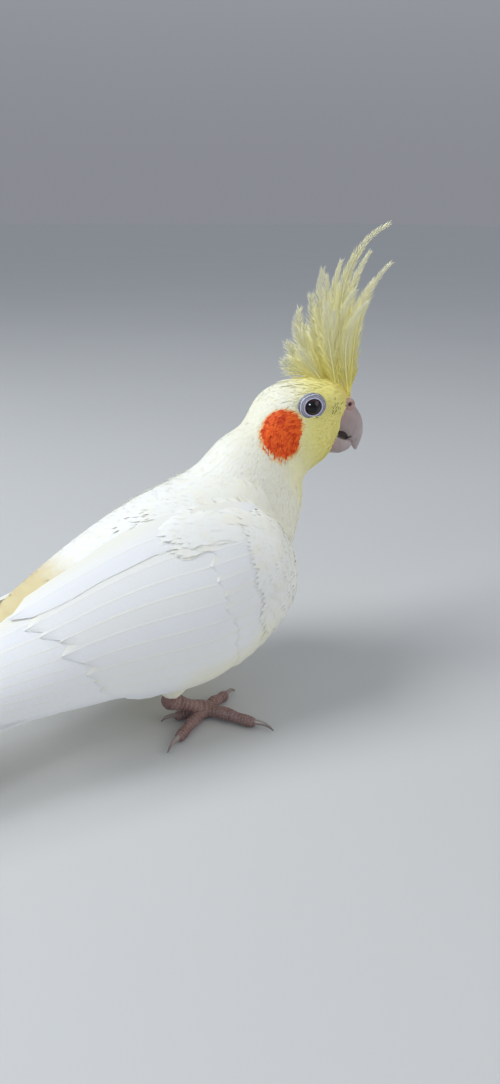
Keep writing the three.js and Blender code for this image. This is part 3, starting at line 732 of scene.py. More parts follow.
def coatTree():
    tree = bpy.data.node_groups.new("coat", "GeometryNodeTree")
    for name, kind in coatInputs.items():
        tree.interface.new_socket(name=name, in_out="INPUT", socket_type="NodeSocket" + kind)
    tree.interface.new_socket(name="Coat", in_out="OUTPUT", socket_type="NodeSocketGeometry")
    g = Graph(tree)
    start = g.add("NodeGroupInput")
    given = {name: start.output(name) for name in coatInputs}

    def read(name, kind="FLOAT"):
        return g.add("GeometryNodeInputNamedAttribute", {"data_type": kind}, [name])

    def store(geometry, name, value, kind="FLOAT", domain="POINT"):
        return g.add("GeometryNodeStoreNamedAttribute", {"data_type": kind, "domain": domain},
                     {"Geometry": geometry, "Name": name, "Value": value})

    def draw(low, high, shift):
        return g.add("FunctionNodeRandomValue", {"data_type": "FLOAT"},
                     {2: low, 3: high, "Seed": given["Seed"] + shift}, 1)

    spread = g.add("GeometryNodeDistributePointsOnFaces", {"distribute_method": "POISSON"},
                   {"Mesh": given["Skin"], "Distance Min": given["Spacing"],
                    "Density Max": 2.2 / (given["Spacing"] * given["Spacing"]),
                    "Density Factor": read(given["Zone"]), "Seed": given["Seed"]})
    points = store(spread, "root", g.add("GeometryNodeInputPosition"), "FLOAT_VECTOR")
    points = store(points, "shade", draw(0.0, 1.0, 1))
    points = store(points, "rise", draw(0.9, 1.12, 2))
    aim = g.add("FunctionNodeAxesToRotation", {"primary_axis": "Z", "secondary_axis": "X"},
                [read("outward", "FLOAT_VECTOR"), read("lie", "FLOAT_VECTOR")])
    twist = g.add("FunctionNodeAxisAngleToRotation", {},
                  [(0, 0, 1), draw(-1.0, 1.0, 3) * draw(0.0, 1.0, 4) * given["Twist"]])
    turned = g.add("FunctionNodeRotateRotation", {"rotation_space": "LOCAL"}, [aim, twist])
    size = read("fine")
    scale = g.add("ShaderNodeCombineXYZ", {}, [given["Length"] * size * draw(0.75, 1.2, 5),
                                               given["Width"] * size * draw(0.8, 1.2, 6),
                                               given["Width"] * size])
    shape = g.add("GeometryNodeObjectInfo", {}, {"Object": given["Tuft"]}, "Geometry")
    placed = g.add("GeometryNodeInstanceOnPoints", {}, {"Points": points, "Instance": shape,
                                                        "Rotation": turned, "Scale": scale})
    coat = g.add("GeometryNodeRealizeInstances", {}, [placed])
    here = g.add("GeometryNodeInputPosition")
    nearest = g.add("GeometryNodeSampleNearestSurface", {"data_type": "FLOAT_VECTOR"},
                    {"Mesh": given["Skin"], "Value": read("outward", "FLOAT_VECTOR"),
                     "Sample Position": here})
    coat = store(coat, "surface", nearest, "FLOAT_VECTOR")
    close = g.add("GeometryNodeProximity", {"target_element": "FACES"},
                  {"Geometry": given["Skin"], "Sample Position": here})
    along = read("along")
    rooted = g.ramp(read(given["Zone"]), 0.15, 0.85)  # roots lie low at a zone's edge
    height = (given["Base"] * rooted + given["Lift"] * read("rise") * along ** 0.8 * read("fine")
              - given["Curl"] * along ** 3 + given["Thickness"] * read("ridge"))
    surface = g.vector("NORMALIZE", read("surface", "FLOAT_VECTOR"))
    coat = g.add("GeometryNodeSetPosition", {}, {
        "Geometry": coat, "Position": g.vector("ADD", close, g.scaled(surface, height))})
    # shading normals between the tuft's own and the skin's, turned down on undersides
    own = g.add("GeometryNodeFieldOnDomain", {"data_type": "FLOAT_VECTOR", "domain": "FACE"},
                [g.add("GeometryNodeInputNormal")])
    side = g.maths("GREATER_THAN", g.vector("DOT_PRODUCT", own, surface, "Value"), -0.5) * 2.0 - 1.0
    soft = g.add("ShaderNodeMix", {"data_type": "VECTOR"},
                 {0: given["Softness"], 4: own, 5: g.scaled(surface, side)}, 1)
    coat = g.add("GeometryNodeSetMeshNormal", {"mode": "FREE", "domain": "CORNER"},
                 {"Mesh": coat, "Custom Normal": g.vector("NORMALIZE", soft)})
    patch = g.scaled(read("patch", "FLOAT_VECTOR"), bakePatch)
    coat = store(coat, "OFBake", g.vector("ADD", read("unwrap", "FLOAT_VECTOR"), patch),
                 "FLOAT2", "CORNER")
    for name in ("patch", "ridge", "rise", "surface", *guides):
        coat = g.add("GeometryNodeRemoveAttribute", {}, {"Geometry": coat, "Name": name})
    coat = g.add("GeometryNodeSetMaterial", {}, {"Geometry": coat, "Material": given["Material"]})
    g.add("NodeGroupOutput", {}, [coat])
    return tree


coatNodes = coatTree()

# Sizes in millimetres, and the twist in degrees
lengths = ("Spacing", "Length", "Width", "Thickness", "Base", "Lift", "Curl")
coatSizes = ("Tuft", *lengths, "Twist", "Softness")
coatZones = {
    "face": ("lock", 0.40, 2.3, 0.80, 0.08, -0.05, 0.75, 0.1, 20, 0.7),
    "crown": ("lock", 0.44, 3.6, 0.95, 0.09, -0.05, 0.8, 0.15, 15, 0.62),
    "cheek": ("lock", 0.46, 2.9, 0.62, 0.10, 0.0, 1.2, 0.2, 34, 0.6),
    "brow": ("lock", 0.5, 4.8, 1.0, 0.12, 0.0, 1.35, 0.1, 14, 0.85),
    "neck": ("lock", 0.55, 5.4, 1.25, 0.11, -0.05, 0.85, 0.25, 13, 0.6),
    "mantle": ("feather", 0.95, 8.0, 3.4, 0.10, -0.05, 0.8, 0.3, 9, 0.68),
    "belly": ("feather", 0.95, 7.5, 3.0, 0.10, -0.05, 0.8, 0.25, 11, 0.68),
    "shoulder": ("feather", 0.95, 7.5, 3.8, 0.10, 1.0, 0.9, 0.3, 7, 0.85),
    "scapular": ("feather", 1.05, 13.0, 4.6, 0.12, 0.9, 1.3, 0.45, 7, 0.88),
}


def makeCoat(zone, sizes, seed):
    settings = dict(zip(coatSizes, sizes))
    carrier = link("carrier", guideMesh)
    modifier = carrier.modifiers.new("coat", "NODES")
    modifier.node_group = coatNodes
    values = {name: settings[name] * 0.001 for name in lengths}
    values.update({"Zone": zone, "Seed": seed, "Material": coatMaterial,
                   "Tuft": tufts[settings["Tuft"]], "Softness": settings["Softness"],
                   "Twist": math.radians(settings["Twist"])})
    for item in coatNodes.interface.items_tree:
        if item.in_out == "INPUT" and item.name in values:
            modifier[item.identifier] = values[item.name]
    name = "coat" + zone.capitalize()
    mesh = evaluated(carrier, name)
    bpy.data.objects.remove(carrier)
    settle(link(name, mesh), "feathers_white", *fleshNodes)
    print(name, triangleCount(mesh), "triangles")


for number, (zone, sizes) in enumerate(coatZones.items()):
    makeCoat(zone, sizes, 10 * number + 3)
bpy.data.meshes.remove(guideMesh)
for tuft in tufts.values():
    bpy.data.objects.remove(tuft)

# Flight feathers and coverts: closed thin vanes over the wing's sheet, with a shaft. Softness is
# how far their shading follows the whole wing's.

vane = {"softness": 0.6, "steps": 18, "across": 8, "thickness": 0.16, "camber": 0.2,
        "roundFrom": 0.82, "shaft": 0.10, "shaftWidth": 0.1, "wave": 0.04}


def closedSheet(middle, thickness, normal, bb, tt):
    # shading normals lie between the vane's own and the whole wing's, and stay even up to its rim
    rows, columns, _ = middle.shape
    own = unit(np.cross(np.gradient(middle, axis=0), np.gradient(middle, axis=1)))
    own *= np.sign((own * normal).sum(-1))[..., None]
    shading = unit(mix(own, normal, vane["softness"])).reshape(-1, 3)
    top, bottom = middle + normal * thickness / 2, middle - normal * thickness / 2
    points = np.concatenate([top.reshape(-1, 3), bottom.reshape(-1, 3)])
    face = gridTriangles(rows, columns)
    n = rows * columns
    edge = np.concatenate([np.arange(columns), np.arange(1, rows) * columns + columns - 1,
                           (rows - 1) * columns + np.arange(columns - 2, -1, -1),
                           np.arange(rows - 2, 0, -1) * columns])
    after = np.roll(edge, -1)
    wall = np.concatenate([np.stack([edge, edge + n, after + n], -1),
                           np.stack([edge, after + n, after], -1)])
    triangles = np.concatenate([face[:, ::-1], face + n, wall])
    uv = np.tile(np.stack([bb * 0.5 + 0.5, tt], -1).reshape(-1, 2), (2, 1))
    return points, outwards(points, triangles), uv, np.concatenate([shading, -shading])


class Bundle:
    # gathers like vanes into one mesh, with the place of each one's root
    def __init__(self):
        self.parts, self.uv, self.normals, self.roots, self.bake = [], [], [], [], []

    def put(self, points, triangles, uv, normals, root, bakeAt):
        self.parts.append((points, triangles))
        self.uv.append(uv)
        self.normals.append(normals)
        self.roots.append(np.repeat(root[None], len(points), 0))
        self.bake.append(np.array(bakeAt)[None] + (uv - 0.5) * bakePatch)

    def build(self, name, material):
        piece = makeObject(name, *joinParts(self.parts), material,
                           maps={"OFBake": np.concatenate(self.bake), "vane": np.concatenate(self.uv)},
                           attributes={"root": (np.concatenate(self.roots) + birdOrigin) * 0.001})
        piece.data.normals_split_custom_set_from_vertices(np.concatenate(self.normals).tolist())
        print(name, triangleCount(piece.data), "triangles")
        return piece


def shaftHeight(b):
    return vane["shaft"] * np.exp(-(b / vane["shaftWidth"]) ** 2)


def wingVane(sheet, root, tip, width, lift, tilt, rng):
    t = np.linspace(0, 1, vane["steps"])
    b = np.linspace(-1, 1, vane["across"] + 1)
    u = mix(root[0], tip[0], t)
    v = mix(root[1], tip[1], np.sin(t * math.pi / 2))
    close = roundedEnd(t, vane["roundFrom"], 0.18)
    half = width / 2 * mix(0.6, 1.0, smooth(t, 0, 0.3)) * np.maximum(close, 0.05)
    down = np.linalg.norm(sheet.slopes(u, v, 0.02)[1], axis=-1) / 0.04
    bb, tt = np.meshgrid(b, t)
    off = bb * half[:, None] * (1 + vane["wave"] * np.sin(tt * 30 + rng.random() * 6) * np.abs(bb))
    vv = np.maximum(v[:, None] + off / np.maximum(down, 8)[:, None], -0.01)
    uu = np.repeat(u[:, None], len(b), 1)
    normal = sheet.normal(uu, np.clip(vv, 0.02, 0.98))
    rise = coreHeight(u) + mix(-1.2, lift, smooth(t, -0.2, 0.35))
    height = (rise[:, None] + off * math.tan(math.radians(tilt)) - vane["camber"] * bb ** 2
              + shaftHeight(bb))
    middle = sheet.point(uu, vv) + normal * height[..., None]
    thickness = vane["thickness"] * (1 - 0.7 * np.abs(bb))
    return closedSheet(middle, thickness[..., None], normal, bb, tt)


# Tiers from the lowest layer to the highest. Roots and tips, and their steps from feather to
# feather, are shares of the sheet's length and height.
wingTiers = {
    "primaries": {"count": 9, "root": (0.38, 0.94), "rootStep": (0, -0.06), "tip": (1, 0.8),
                  "tipStep": (-0.035, -0.085), "shape": (9.5, 0.0, 3.5)},  # width, lift and tilt
    "secondaries": {"count": 10, "root": (0.26, 0.93), "rootStep": (0, -0.088), "tip": (0.57, 0.92),
                    "tipStep": (0.01, -0.096), "shape": (10, 0.45, 3)},
    "greaterCoverts": {"count": 13, "root": (0.16, 0.95), "rootStep": (0, -0.072),
                       "tip": (0.35, 0.97), "tipStep": (0.004, -0.076), "shape": (8.0, 0.7, 2.0)},
}


def makeWing(sheet):
    rng = np.random.default_rng(11 if sheet.side < 0 else 12)
    bundle = Bundle()
    for tier in wingTiers.values():
        for i in range(tier["count"]):
            root = np.array(tier["root"]) + i * np.array(tier["rootStep"])
            tip = np.array(tier["tip"]) + i * np.array(tier["tipStep"]) + rng.normal(0, 0.007, 2)
            tip[0] = min(tip[0], 0.998)
            bakeAt = (0.05 + 0.9 * root[0], 0.5 + 0.4 * sheet.side * root[1])
            bundle.put(*wingVane(sheet, root, tip, *tier["shape"], rng), sheet.point(*root), bakeAt)
    settle(bundle.build("wingFeathers" + sheet.name, wingMaterial), "feathers_white",
           "wing_" + sheet.name.lower())


for sheet in sheets:
    makeWing(sheet)

# Tail: feathers in pairs under the central two, whose tips lie on the floor.

tail = {"root": (-57, 0, 41.2), "length": 148, "spread": 1.2, "layer": 0.9, "rest": 0.35,
        "shares": (1, 0.93, 0.8, 0.67, 0.55, 0.45), "hidden": 4, "steps": 34, "half": 4.7,
        "middleHalf": 4.2, "thickness": 0.3, "camber": 0.15}


def tailPoint(reach, yaw, drop):
    share = reach / tail["length"]
    fall = tail["root"][2] - tail["rest"]
    rise = np.where(share > 0.955, 0, fall * np.maximum(1 - share / 0.98, 0) ** 1.25)
    height = tail["rest"] + rise - drop * smooth(1 - share, 0, 0.12)
    return np.stack([tail["root"][0] - reach * math.cos(yaw), reach * math.sin(yaw),
                     np.maximum(height, tail["rest"])], -1)


def ribbon(points, normals, halves):
    # a closed thin vane along a path, with a raised shaft down its middle
    b = np.linspace(-1, 1, vane["across"] + 1)
    sides = unit(np.cross(unit(np.gradient(points, axis=0)), normals))
    height = (shaftHeight(b) - tail["camber"] * b ** 2)[None, :, None] + 0 * halves[:, None, None]
    place = (points[:, None] + sides[:, None] * (halves[:, None] * b)[..., None]
             + normals[:, None] * height)
    bb, tt = np.meshgrid(b, np.linspace(0, 1, len(points)))
    thickness = tail["thickness"] * (1 - 0.6 * np.abs(bb))
    return closedSheet(place, thickness[..., None], np.repeat(normals[:, None], len(b), 1), bb, tt)


def makeTail():
    bundle = Bundle()
    t = np.linspace(0, 1, tail["steps"])
    close = roundedEnd(t, 0.93, 0.07)
    normals = np.repeat(unit(np.array([(0.25, 0, 1.0)])), len(t), 0)
    for pair, share in enumerate(tail["shares"]):
        for side in (-1, 1):
            yaw = math.radians(side * tail["spread"] * (pair + 0.45))
            taper = mix(1, 0.55, smooth(t, 0.4, 0.97)) if pair < 2 else 1
            half = tail["half" if pair else "middleHalf"] * taper * np.maximum(close, 0.05)
            reach = mix(-tail["hidden"], tail["length"] * share, t)
            points = tailPoint(reach, yaw, pair * tail["layer"])
            bundle.put(*ribbon(points, normals, half), points[0], (0.9, 0.5 + 0.03 * side * (pair + 1)))
    settle(bundle.build("tailFeathers", wingMaterial), "feathers_white", "tail")


makeTail()

# Crest: each feather rises from the forehead or crown at an angle of rise round the middle of the
# face, leans back by an angle and curls forward. Its barbs leave the shaft in pairs.

crest = {"centre": (3.5, -4), "sunk": 2.6, "spacing": 0.32, "barbAngle": 24, "seed": 31,
         "barb": (0.13, 0.12, 0.07), "shaft": (0.26, 0.06), "shaftSides": 5}
crestFeathers = [  # rise, side, length, lean, curl, half width
    (33, 0.9, 27, 6, 38, 1.8), (37, -1.4, 40, 2, 52, 1.8), (41, 1, 41, 5, 44, 1.9),
    (46, -0.6, 52, 12, 82, 1.9), (51, 1.6, 36, 11, 32, 2), (56, -1.8, 35, 25, 36, 2.1),
    (62, 0.4, 31, 8, 0, 2.1), (68, -1.2, 27, 24, 18, 2.2), (75, 1.5, 23, 40, 54, 2.2),
    (83, -0.6, 18, 34, 8, 2.3), (92, 0.9, 14, 44, 4, 2.3), (103, -0.2, 10, 60, 0, 2.3),
]


def crestPath(rise, side, length, lean, curl, steps=40):
    centre = headPoint(crest["centre"][0], side, crest["centre"][1])
    outward = headWay(math.cos(math.radians(rise)), 0, math.sin(math.radians(rise)))
    place = toHead(centre + outward * bodyEdge(centre, outward))
    middle = (np.arange(steps) + 0.5) / steps
    angle = np.radians(90 + lean - curl * middle ** 2.4)
    step = (length + crest["sunk"]) / steps
    moves = np.stack([step * np.cos(angle), np.full(steps, step * math.sin(math.radians(side * 3.2))),
                      step * np.sin(angle)], -1)
    first = math.radians(90 + lean)
    start = place - crest["sunk"] * np.array((math.cos(first), 0, math.sin(first)))
    return fromHead(np.concatenate([[start], start + np.cumsum(moves, 0)]))


def barbBlades(middles, normal, halves, heights):
    # closed three sided blades, each along its row of points to a pointed end
    count, rings = len(middles), middles.shape[1] - 1
    heading = unit(np.gradient(middles, axis=1))
    sides = unit(np.cross(normal, heading))[:, :rings]
    centre = middles[:, :rings]
    ring = np.stack([centre - sides * halves[..., None], centre + sides * halves[..., None],
                     centre + normal[:, :rings] * heights[..., None]], 2)
    points = np.concatenate([ring.reshape(count, rings * 3, 3), middles[:, rings:]], 1)
    last, tip = 3 * (rings - 1), 3 * rings
    caps = [(0, 2, 1), (last, last + 1, tip), (last + 1, last + 2, tip), (last + 2, last, tip)]
    one = np.concatenate([gridTriangles(rings, 3, True), caps])
    triangles = (one[None] + (np.arange(count) * (tip + 1))[:, None, None]).reshape(-1, 3)
    return points.reshape(-1, 3), triangles


def makeCrest():
    rng = np.random.default_rng(crest["seed"])
    lateral = headWay(0, 1, 0)
    feathers = list(crestFeathers)
    for one, two in zip(crestFeathers, crestFeathers[1:]):  # a shorter feather between each two
        between = [mix(a, b, 0.5) for a, b in zip(one, two)]
        between[1] = rng.uniform(-2.6, 2.6)
        between[2] = min(one[2], two[2]) * rng.uniform(0.6, 0.95)
        between[3] += rng.normal(0, 3)
        feathers.append(tuple(between))
    parts, shares, rows = [], [], []
    for number, (rise, side, length, lean, curl, half) in enumerate(feathers):
        path = crestPath(rise, side, length, lean, curl)
        tangent = unit(np.gradient(path, axis=0))
        t = np.linspace(0, 1, len(path))
        turn = aroundCircle(crest["shaftSides"])[None, :, None]
        out = unit(np.cross(tangent, lateral))
        circle = np.cos(turn) * out[:, None] + np.sin(turn) * lateral
        parts.append(loft(path[:, None] + mix(*crest["shaft"], t)[:, None, None] * circle))
        shares.append(alongRings(t, crest["shaftSides"]))
        share = np.repeat(np.linspace(0.07, 0.975, int(length / crest["spacing"])), 2)
        sign = np.tile([-1.0, 1.0], len(share) // 2)
        share = np.clip(share + rng.normal(0, 0.004, len(share)), 0, 0.99)
        root, ahead = [np.stack([np.interp(share, t, values[:, k]) for k in range(3)], -1)
                       for values in (path, tangent)]
        ahead = unit(ahead)
        away = unit(np.cross(ahead, lateral)) * sign[:, None]
        width = half * mix(1.1, 0.3, smooth(share, 0.35, 1.05)) * smooth(share, -0.1, 0.12)
        loose = smooth(rise, 45, 75)
        angle = np.radians(rng.normal(crest["barbAngle"] + 4 * loose, 3 + 4 * loose, len(share)))
        long = width / np.sin(np.radians(crest["barbAngle"])) * rng.uniform(0.8, 1.15, len(share))
        k = np.linspace(0, 1, 4)
        spread = np.sin(angle)[:, None] * (k - 0.3 * k ** 2) / 0.7
        forward = np.cos(angle)[:, None] * (k + 0.12 * k ** 2)
        drift = rng.normal(0, 0.08 + 0.1 * loose, len(share))[:, None] * k ** 2
        middles = root[:, None] + long[:, None, None] * (
            spread[..., None] * away[:, None] + forward[..., None] * ahead[:, None]
            + drift[..., None] * lateral)
        normal = np.broadcast_to(lateral, middles.shape)
        halves = np.array(crest["barb"])[None] * np.ones((len(share), 1))
        parts.append(barbBlades(middles, normal, halves, halves * 0.6))
        shares.append(np.repeat(share, 10))
        rows += [np.full(len(part[0]), number) for part in parts[-2:]]
    points, triangles = joinParts(parts)
    along = np.concatenate(shares)
    uv = np.stack([0.02 + 0.9 * np.concatenate(rows) / len(feathers), 0.02 + bakePatch * 6 * along], -1)
    piece = makeObject("crestFeathers", points, triangles, crestMaterial, maps={"OFBake": uv},
                       attributes={"along": along})
    settle(piece, "feathers_pale_yellow", "head")
    print("crest", len(triangles), "triangles")


makeCrest()

# Eyes: a dark wet ball in a ring of bare, wrinkled skin, with painted shade in the wrinkles.

eye = {"radius": 3.2, "depth": 2.2, "slant": -9, "turns": 96, "pupil": (0.004, 0.004, 0.006),
       "iris": (0.035, 0.014, 0.016), "white": (0.010, 0.008, 0.012)}
lid = {"rim": (0.42, 0.38, 0.60), "ring": (0.68, 0.64, 0.84), "skin": (0.50, 0.51, 0.60),
       "wrinkleAndShade": (0.06, 0.075, 0.14)}
lidProfile = [(2.52, -0.5), (2.54, 0.02), (2.62, 0.20), (2.78, 0.28), (2.94, 0.22), (3.06, 0.13),
              (3.2, 0.19), (3.36, 0.17), (3.5, 0.06), (3.62, 0.10), (3.76, 0.02), (3.9, -0.18),
              (4.1, -0.45), (4.3, -0.9), (4.2, -1.6), (2.7, -1.6)]  # radius and height


def eyeShading():
    g = Shading("eyeBall")
    toAxis = g.attribute("toAxis")
    colour = g.colour(eye["pupil"], eye["iris"], g.ramp(toAxis, 1.75, 1.95))
    colour = g.colour(colour, eye["white"], g.ramp(toAxis, 2.2, 2.5))
    return g.finish(colour, 0.06, None, sockets={"Specular IOR Level": 0.35})


def lidShading():
    g = Shading("lidSkin")
    out = g.attribute("out")
    fine = g.noise(g.here, 1500.0, 3.0)
    colour = g.colour(lid["rim"], lid["ring"], g.ramp(out, 0.10, 0.24))
    colour = g.colour(colour, lid["skin"], g.ramp(out, 0.34, 0.5))
    folds = g.maths("SINE", out * 25.0 + fine * 7.0)
    # the wrinkles' grooves are sunk by the bump and darkened with painted shade
    wrinkleAndShade = g.ramp(folds, -0.1, 0.7) * g.ramp(out, 0.30, 0.42)
    colour = g.colour(colour, lid["wrinkleAndShade"], wrinkleAndShade * 0.9)
    return g.finish(colour, 0.5, fine - wrinkleAndShade, 0.5, 0.0003)


eyeMaterial, lidMaterial = eyeShading(), lidShading()


def makeEyes():
    rng = np.random.default_rng(5)
    surface = bodyEdge(headPoint(0, 0, 0), headWay(0, 1, 0))
    spherePoints, sphereTriangles = ball(5)
    radius, height = np.array(lidProfile).T
    turns, count = eye["turns"], len(lidProfile)
    theta = aroundCircle(turns)[:, None]
    folded = (smooth(radius, 2.4, 3.2) * (height > -0.6))[None]
    for side in (-1, 1):
        name = sideName(side)
        bulge = 1 + 0.05 * smooth(spherePoints[:, 1] * side, 0.75, 1.0)
        local = spherePoints * eye["radius"] * bulge[:, None]
        toAxis = np.linalg.norm(local[:, [0, 2]], axis=1) + 10 * (spherePoints[:, 1] * side < 0)
        piece = makeObject("eye" + name, fromHead(local + (0, side * (surface - eye["depth"]), 0)),
                           sphereTriangles, eyeMaterial, attributes={"toAxis": toAxis})
        settle(piece, "eye", "eye_" + name.lower())

        crease = np.sin(theta * 17 + 2 * np.sin(theta * 3)) * 0.05 + rng.normal(0, 0.02, (turns, count))
        r = radius[None] * (1 + 0.02 * np.cos(theta * 5) * folded)
        ring = np.stack([1.06 * r * np.cos(theta), side * (height[None] + crease * folded),
                         0.96 * r * np.sin(theta)], -1)
        slant = np.array(Matrix.Rotation(math.radians(side * eye["slant"]), 3, "Z"))
        ring = ring @ slant.T + (0.2, side * (surface - 0.15), 0)
        points = fromHead(ring.reshape(-1, 3))
        triangles = outwards(points, gridTriangles(turns, count, True, True))
        piece = makeObject("lid" + name, points, triangles, lidMaterial,
                           attributes={"out": np.tile((radius - 2.3) / 2.0, turns)})
        settle(piece, "scaly_skin", "head")


makeEyes()

# Bill: the upper half is a short hook, the lower one a scoop that closes under it, and a line of
# painted shade runs where they meet. Sizes are half the width, the height above the path and the depth
# below.

billUpper = {"path": [(5, -3.4), (10.8, -4.4), (14.6, -7.4), (16.4, -11.5), (17.2, -16.4)],
             "sizes": [(5.5, 5.4, 6.4), (5.2, 5.2, 6.8), (3.8, 4.2, 4.8), (2.5, 2.9, 3.0),
                       (0.4, 0.45, 0.45)]}
billLower = {"path": [(3, -11.9), (8.2, -13.6), (11.6, -14.3), (14.2, -14.0), (15.4, -13.1)],
             "sizes": [(5.0, 4.8, 3.2), (4.8, 5.2, 3.3), (3.7, 4.0, 3.0), (2.7, 2.6, 1.9),
                       (1.0, 0.9, 0.6)]}
# the line of painted shade between the bill's halves
gapeShadeLine = [(8.0, -8.4), (8.4, -8.9), (10.6, -11.1), (12.9, -12.2), (14.6, -11.6)]  # x and z
# a near-black ball of painted shade inside the bill
mouth = {"at": (10.5, 0, -10.9), "radii": (4.3, 2.9, 2.7), "colour": (0.03, 0.016, 0.014)}
nostril = {"at": (12.7, 3.3, -0.9), "radii": (2.3, 1.4, 2.1), "pit": 0.36}
horn = {"base": (0.48, 0.28, 0.24), "middle": (0.44, 0.34, 0.33), "tip": (0.50, 0.42, 0.42),
        "streak": (0.34, 0.27, 0.27), "gape": (0.03, 0.018, 0.015), "cere": (0.52, 0.33, 0.29),
        "cereSpot": (0.40, 0.24, 0.21), "pit": (0.07, 0.010, 0.008)}


def billShading():
    g = Shading("billHorn")
    along = g.attribute("along")
    streak = g.noise(g.vector("MULTIPLY", g.here, (1, 1, 0.25)), 900.0, 3.0)
    colour = g.colour(horn["middle"], horn["tip"], g.ramp(along, 0.3, 0.8))
    colour = g.colour(colour, horn["streak"], g.ramp(streak, 0.5, 0.72) * 0.5)
    colour = g.colour(horn["base"], colour, g.ramp(along, 0.16, 0.36))
    # painted shade along the line where the two halves meet
    colour = g.colour(colour, horn["gape"], g.attribute("gape"))
    return g.finish(colour, 0.42, streak, 0.2, 0.0001, {"Specular IOR Level": 0.4})


def cereShading():
    g = Shading("cereSkin")
    colour = g.colour(horn["cere"], horn["cereSpot"], g.ramp(g.noise(g.here, 900.0), 0.45, 0.65))
    # the hole of each nostril darkened with painted shade
    colour = g.colour(colour, horn["pit"], g.attribute("pit"))
    return g.finish(colour, 0.5, g.noise(g.here, 1500.0), 0.3, 0.0002)


billMaterial, cereMaterial = billShading(), cereShading()


def makeBill(name, shape, node):
    steps, sides = 48, 48
    t = np.linspace(0, 1, steps)
    path = splineAt([(x, 0, z) for x, z in shape["path"]], t)
    along = unit(np.gradient(path, axis=0))
    up = unit(np.cross(along, (0, 1.0, 0)))
    up *= np.where((up[:, 0] < 0) & (up[:, 2] < 0), -1, 1)[:, None]
    before, after, share = tableRows(shape["sizes"], t)
    wide, above, below = mix(before, after, share[:, None]).T[:, :, None]
    turn = aroundCircle(sides)[None]
    height = np.where(np.sin(turn) > 0, above, below) * np.sin(turn)
    ring = (path[:, None] + (wide * np.cos(turn))[..., None] * np.array((0, 1.0, 0))
            + height[..., None] * up[:, None])
    line = splineAt([(x, 0, z) for x, z in gapeShadeLine], np.linspace(0, 1, 60))
    toLine = np.linalg.norm((ring[:, :, None] - line) * (1, 0, 1), axis=-1).min(-1)
    points, triangles = loft(ring)
    gape = alongRings(1 - smooth(toLine.ravel(), 0.22, 0.5), 1, (0, 0))
    piece = makeObject(name, fromHead(points), triangles, billMaterial,
                       attributes={"along": alongRings(t, sides), "gape": gape})
    settle(piece, "bill_horn", node)


def makeNostrils():
    spherePoints, sphereTriangles = ball(5)
    for side in (-1, 1):
        toMiddle = np.linalg.norm(spherePoints - unit(np.array((0.25, side, 0.15))), axis=-1)
        pit = 1 - smooth(toMiddle, nostril["pit"] * 0.7, nostril["pit"] * 1.3)
        points = spherePoints * np.array(nostril["radii"]) * (1 - 0.4 * pit)[:, None]
        points = fromHead(points + np.array(nostril["at"]) * (1, side, 1))
        # the pit attribute darkens the nostril's hole with painted shade
        piece = makeObject("nostril" + sideName(side), points, sphereTriangles, cereMaterial,
                           attributes={"pit": smooth(pit, 0.1, 0.7)})
        settle(piece, "bill_horn", "bill_upper")


def makeMouthShade():
    # a dark ball inside the bill: painted shade that shows where the two halves meet
    material = Shading("mouthInside").finish(mouth["colour"], 0.6)
    spherePoints, sphereTriangles = ball(4)
    points = fromHead(spherePoints * mouth["radii"] + mouth["at"])
    settle(makeObject("mouth", points, sphereTriangles, material), "bill_horn", "bill_lower")


makeBill("billUpper", billUpper, "bill_upper")
makeBill("billLower", billLower, "bill_lower")
makeNostrils()
makeMouthShade()

# Short dark bristles between the eye and the nostril, on an area of x and z in the head

bristles = {"count": 13, "length": (1.1, 2.3), "half": 0.12, "seed": 8, "colour": (0.16, 0.13, 0.07),
            "x": (6.6, 9.6), "z": (-3.6, 1.6)}


def makeBristles():
    rng = np.random.default_rng(bristles["seed"])
    material = Shading("bristles").finish(bristles["colour"], 0.6)
    starts, ways = [], []
    for side in (-1, 1):
        for _ in range(bristles["count"]):
            x, z = rng.uniform(*bristles["x"]), rng.uniform(*bristles["z"])
            start, outward = headPoint(x, 0, z), headWay(0, side, 0)
            starts.append(start + outward * (bodyEdge(start, outward) - 0.3))
            ways.append(headWay(rng.uniform(-0.4, 0.6), side * 0.55, rng.uniform(0.3, 1.0)))
    starts, ways = np.array(starts), unit(np.array(ways))
    k = np.linspace(0, 1, 4)[None, :, None]
    length = rng.uniform(*bristles["length"], len(starts))[:, None, None]
    bend = headWay(-0.4, 0, 0.1)
    middles = starts[:, None] + (ways[:, None] * k + bend * k ** 2) * length
    normal = np.broadcast_to(headWay(0, 1, 0), middles.shape)
    halves = np.array([1, 0.8, 0.4])[None] * np.full((len(starts), 1), bristles["half"])
    piece = makeObject("bristles", *barbBlades(middles, normal, halves, halves), material)
    settle(piece, "feathers_pale_yellow", "head")


makeBristles()

# Feet: two toes forward and two back, with scales round them, and curved claws.

leg = {"spread": 13, "ankle": (-12.5, 10.5), "fork": (0, 2.1), "tarsusRadius": 2.4, "rings": 8,
       "skin": (0.33, 0.20, 0.18), "darkSkin": (0.24, 0.13, 0.12), "scale": (0.46, 0.36, 0.33),
       "crack": (0.12, 0.06, 0.055), "knuckles": ((3.0, 2.8, 2.3), (2.75, 2.6, 2.75))}
# Each toe's heading, length and radius
toes = [(-20, 11.5, 1.95), (56, 17.5, 2.05), (152, 16.5, 1.95), (197, 10, 1.75)]
claw = {"radii": (0.85, 0.16), "sides": 14, "root": (0.34, 0.28, 0.26), "tip": (0.20, 0.16, 0.15)}


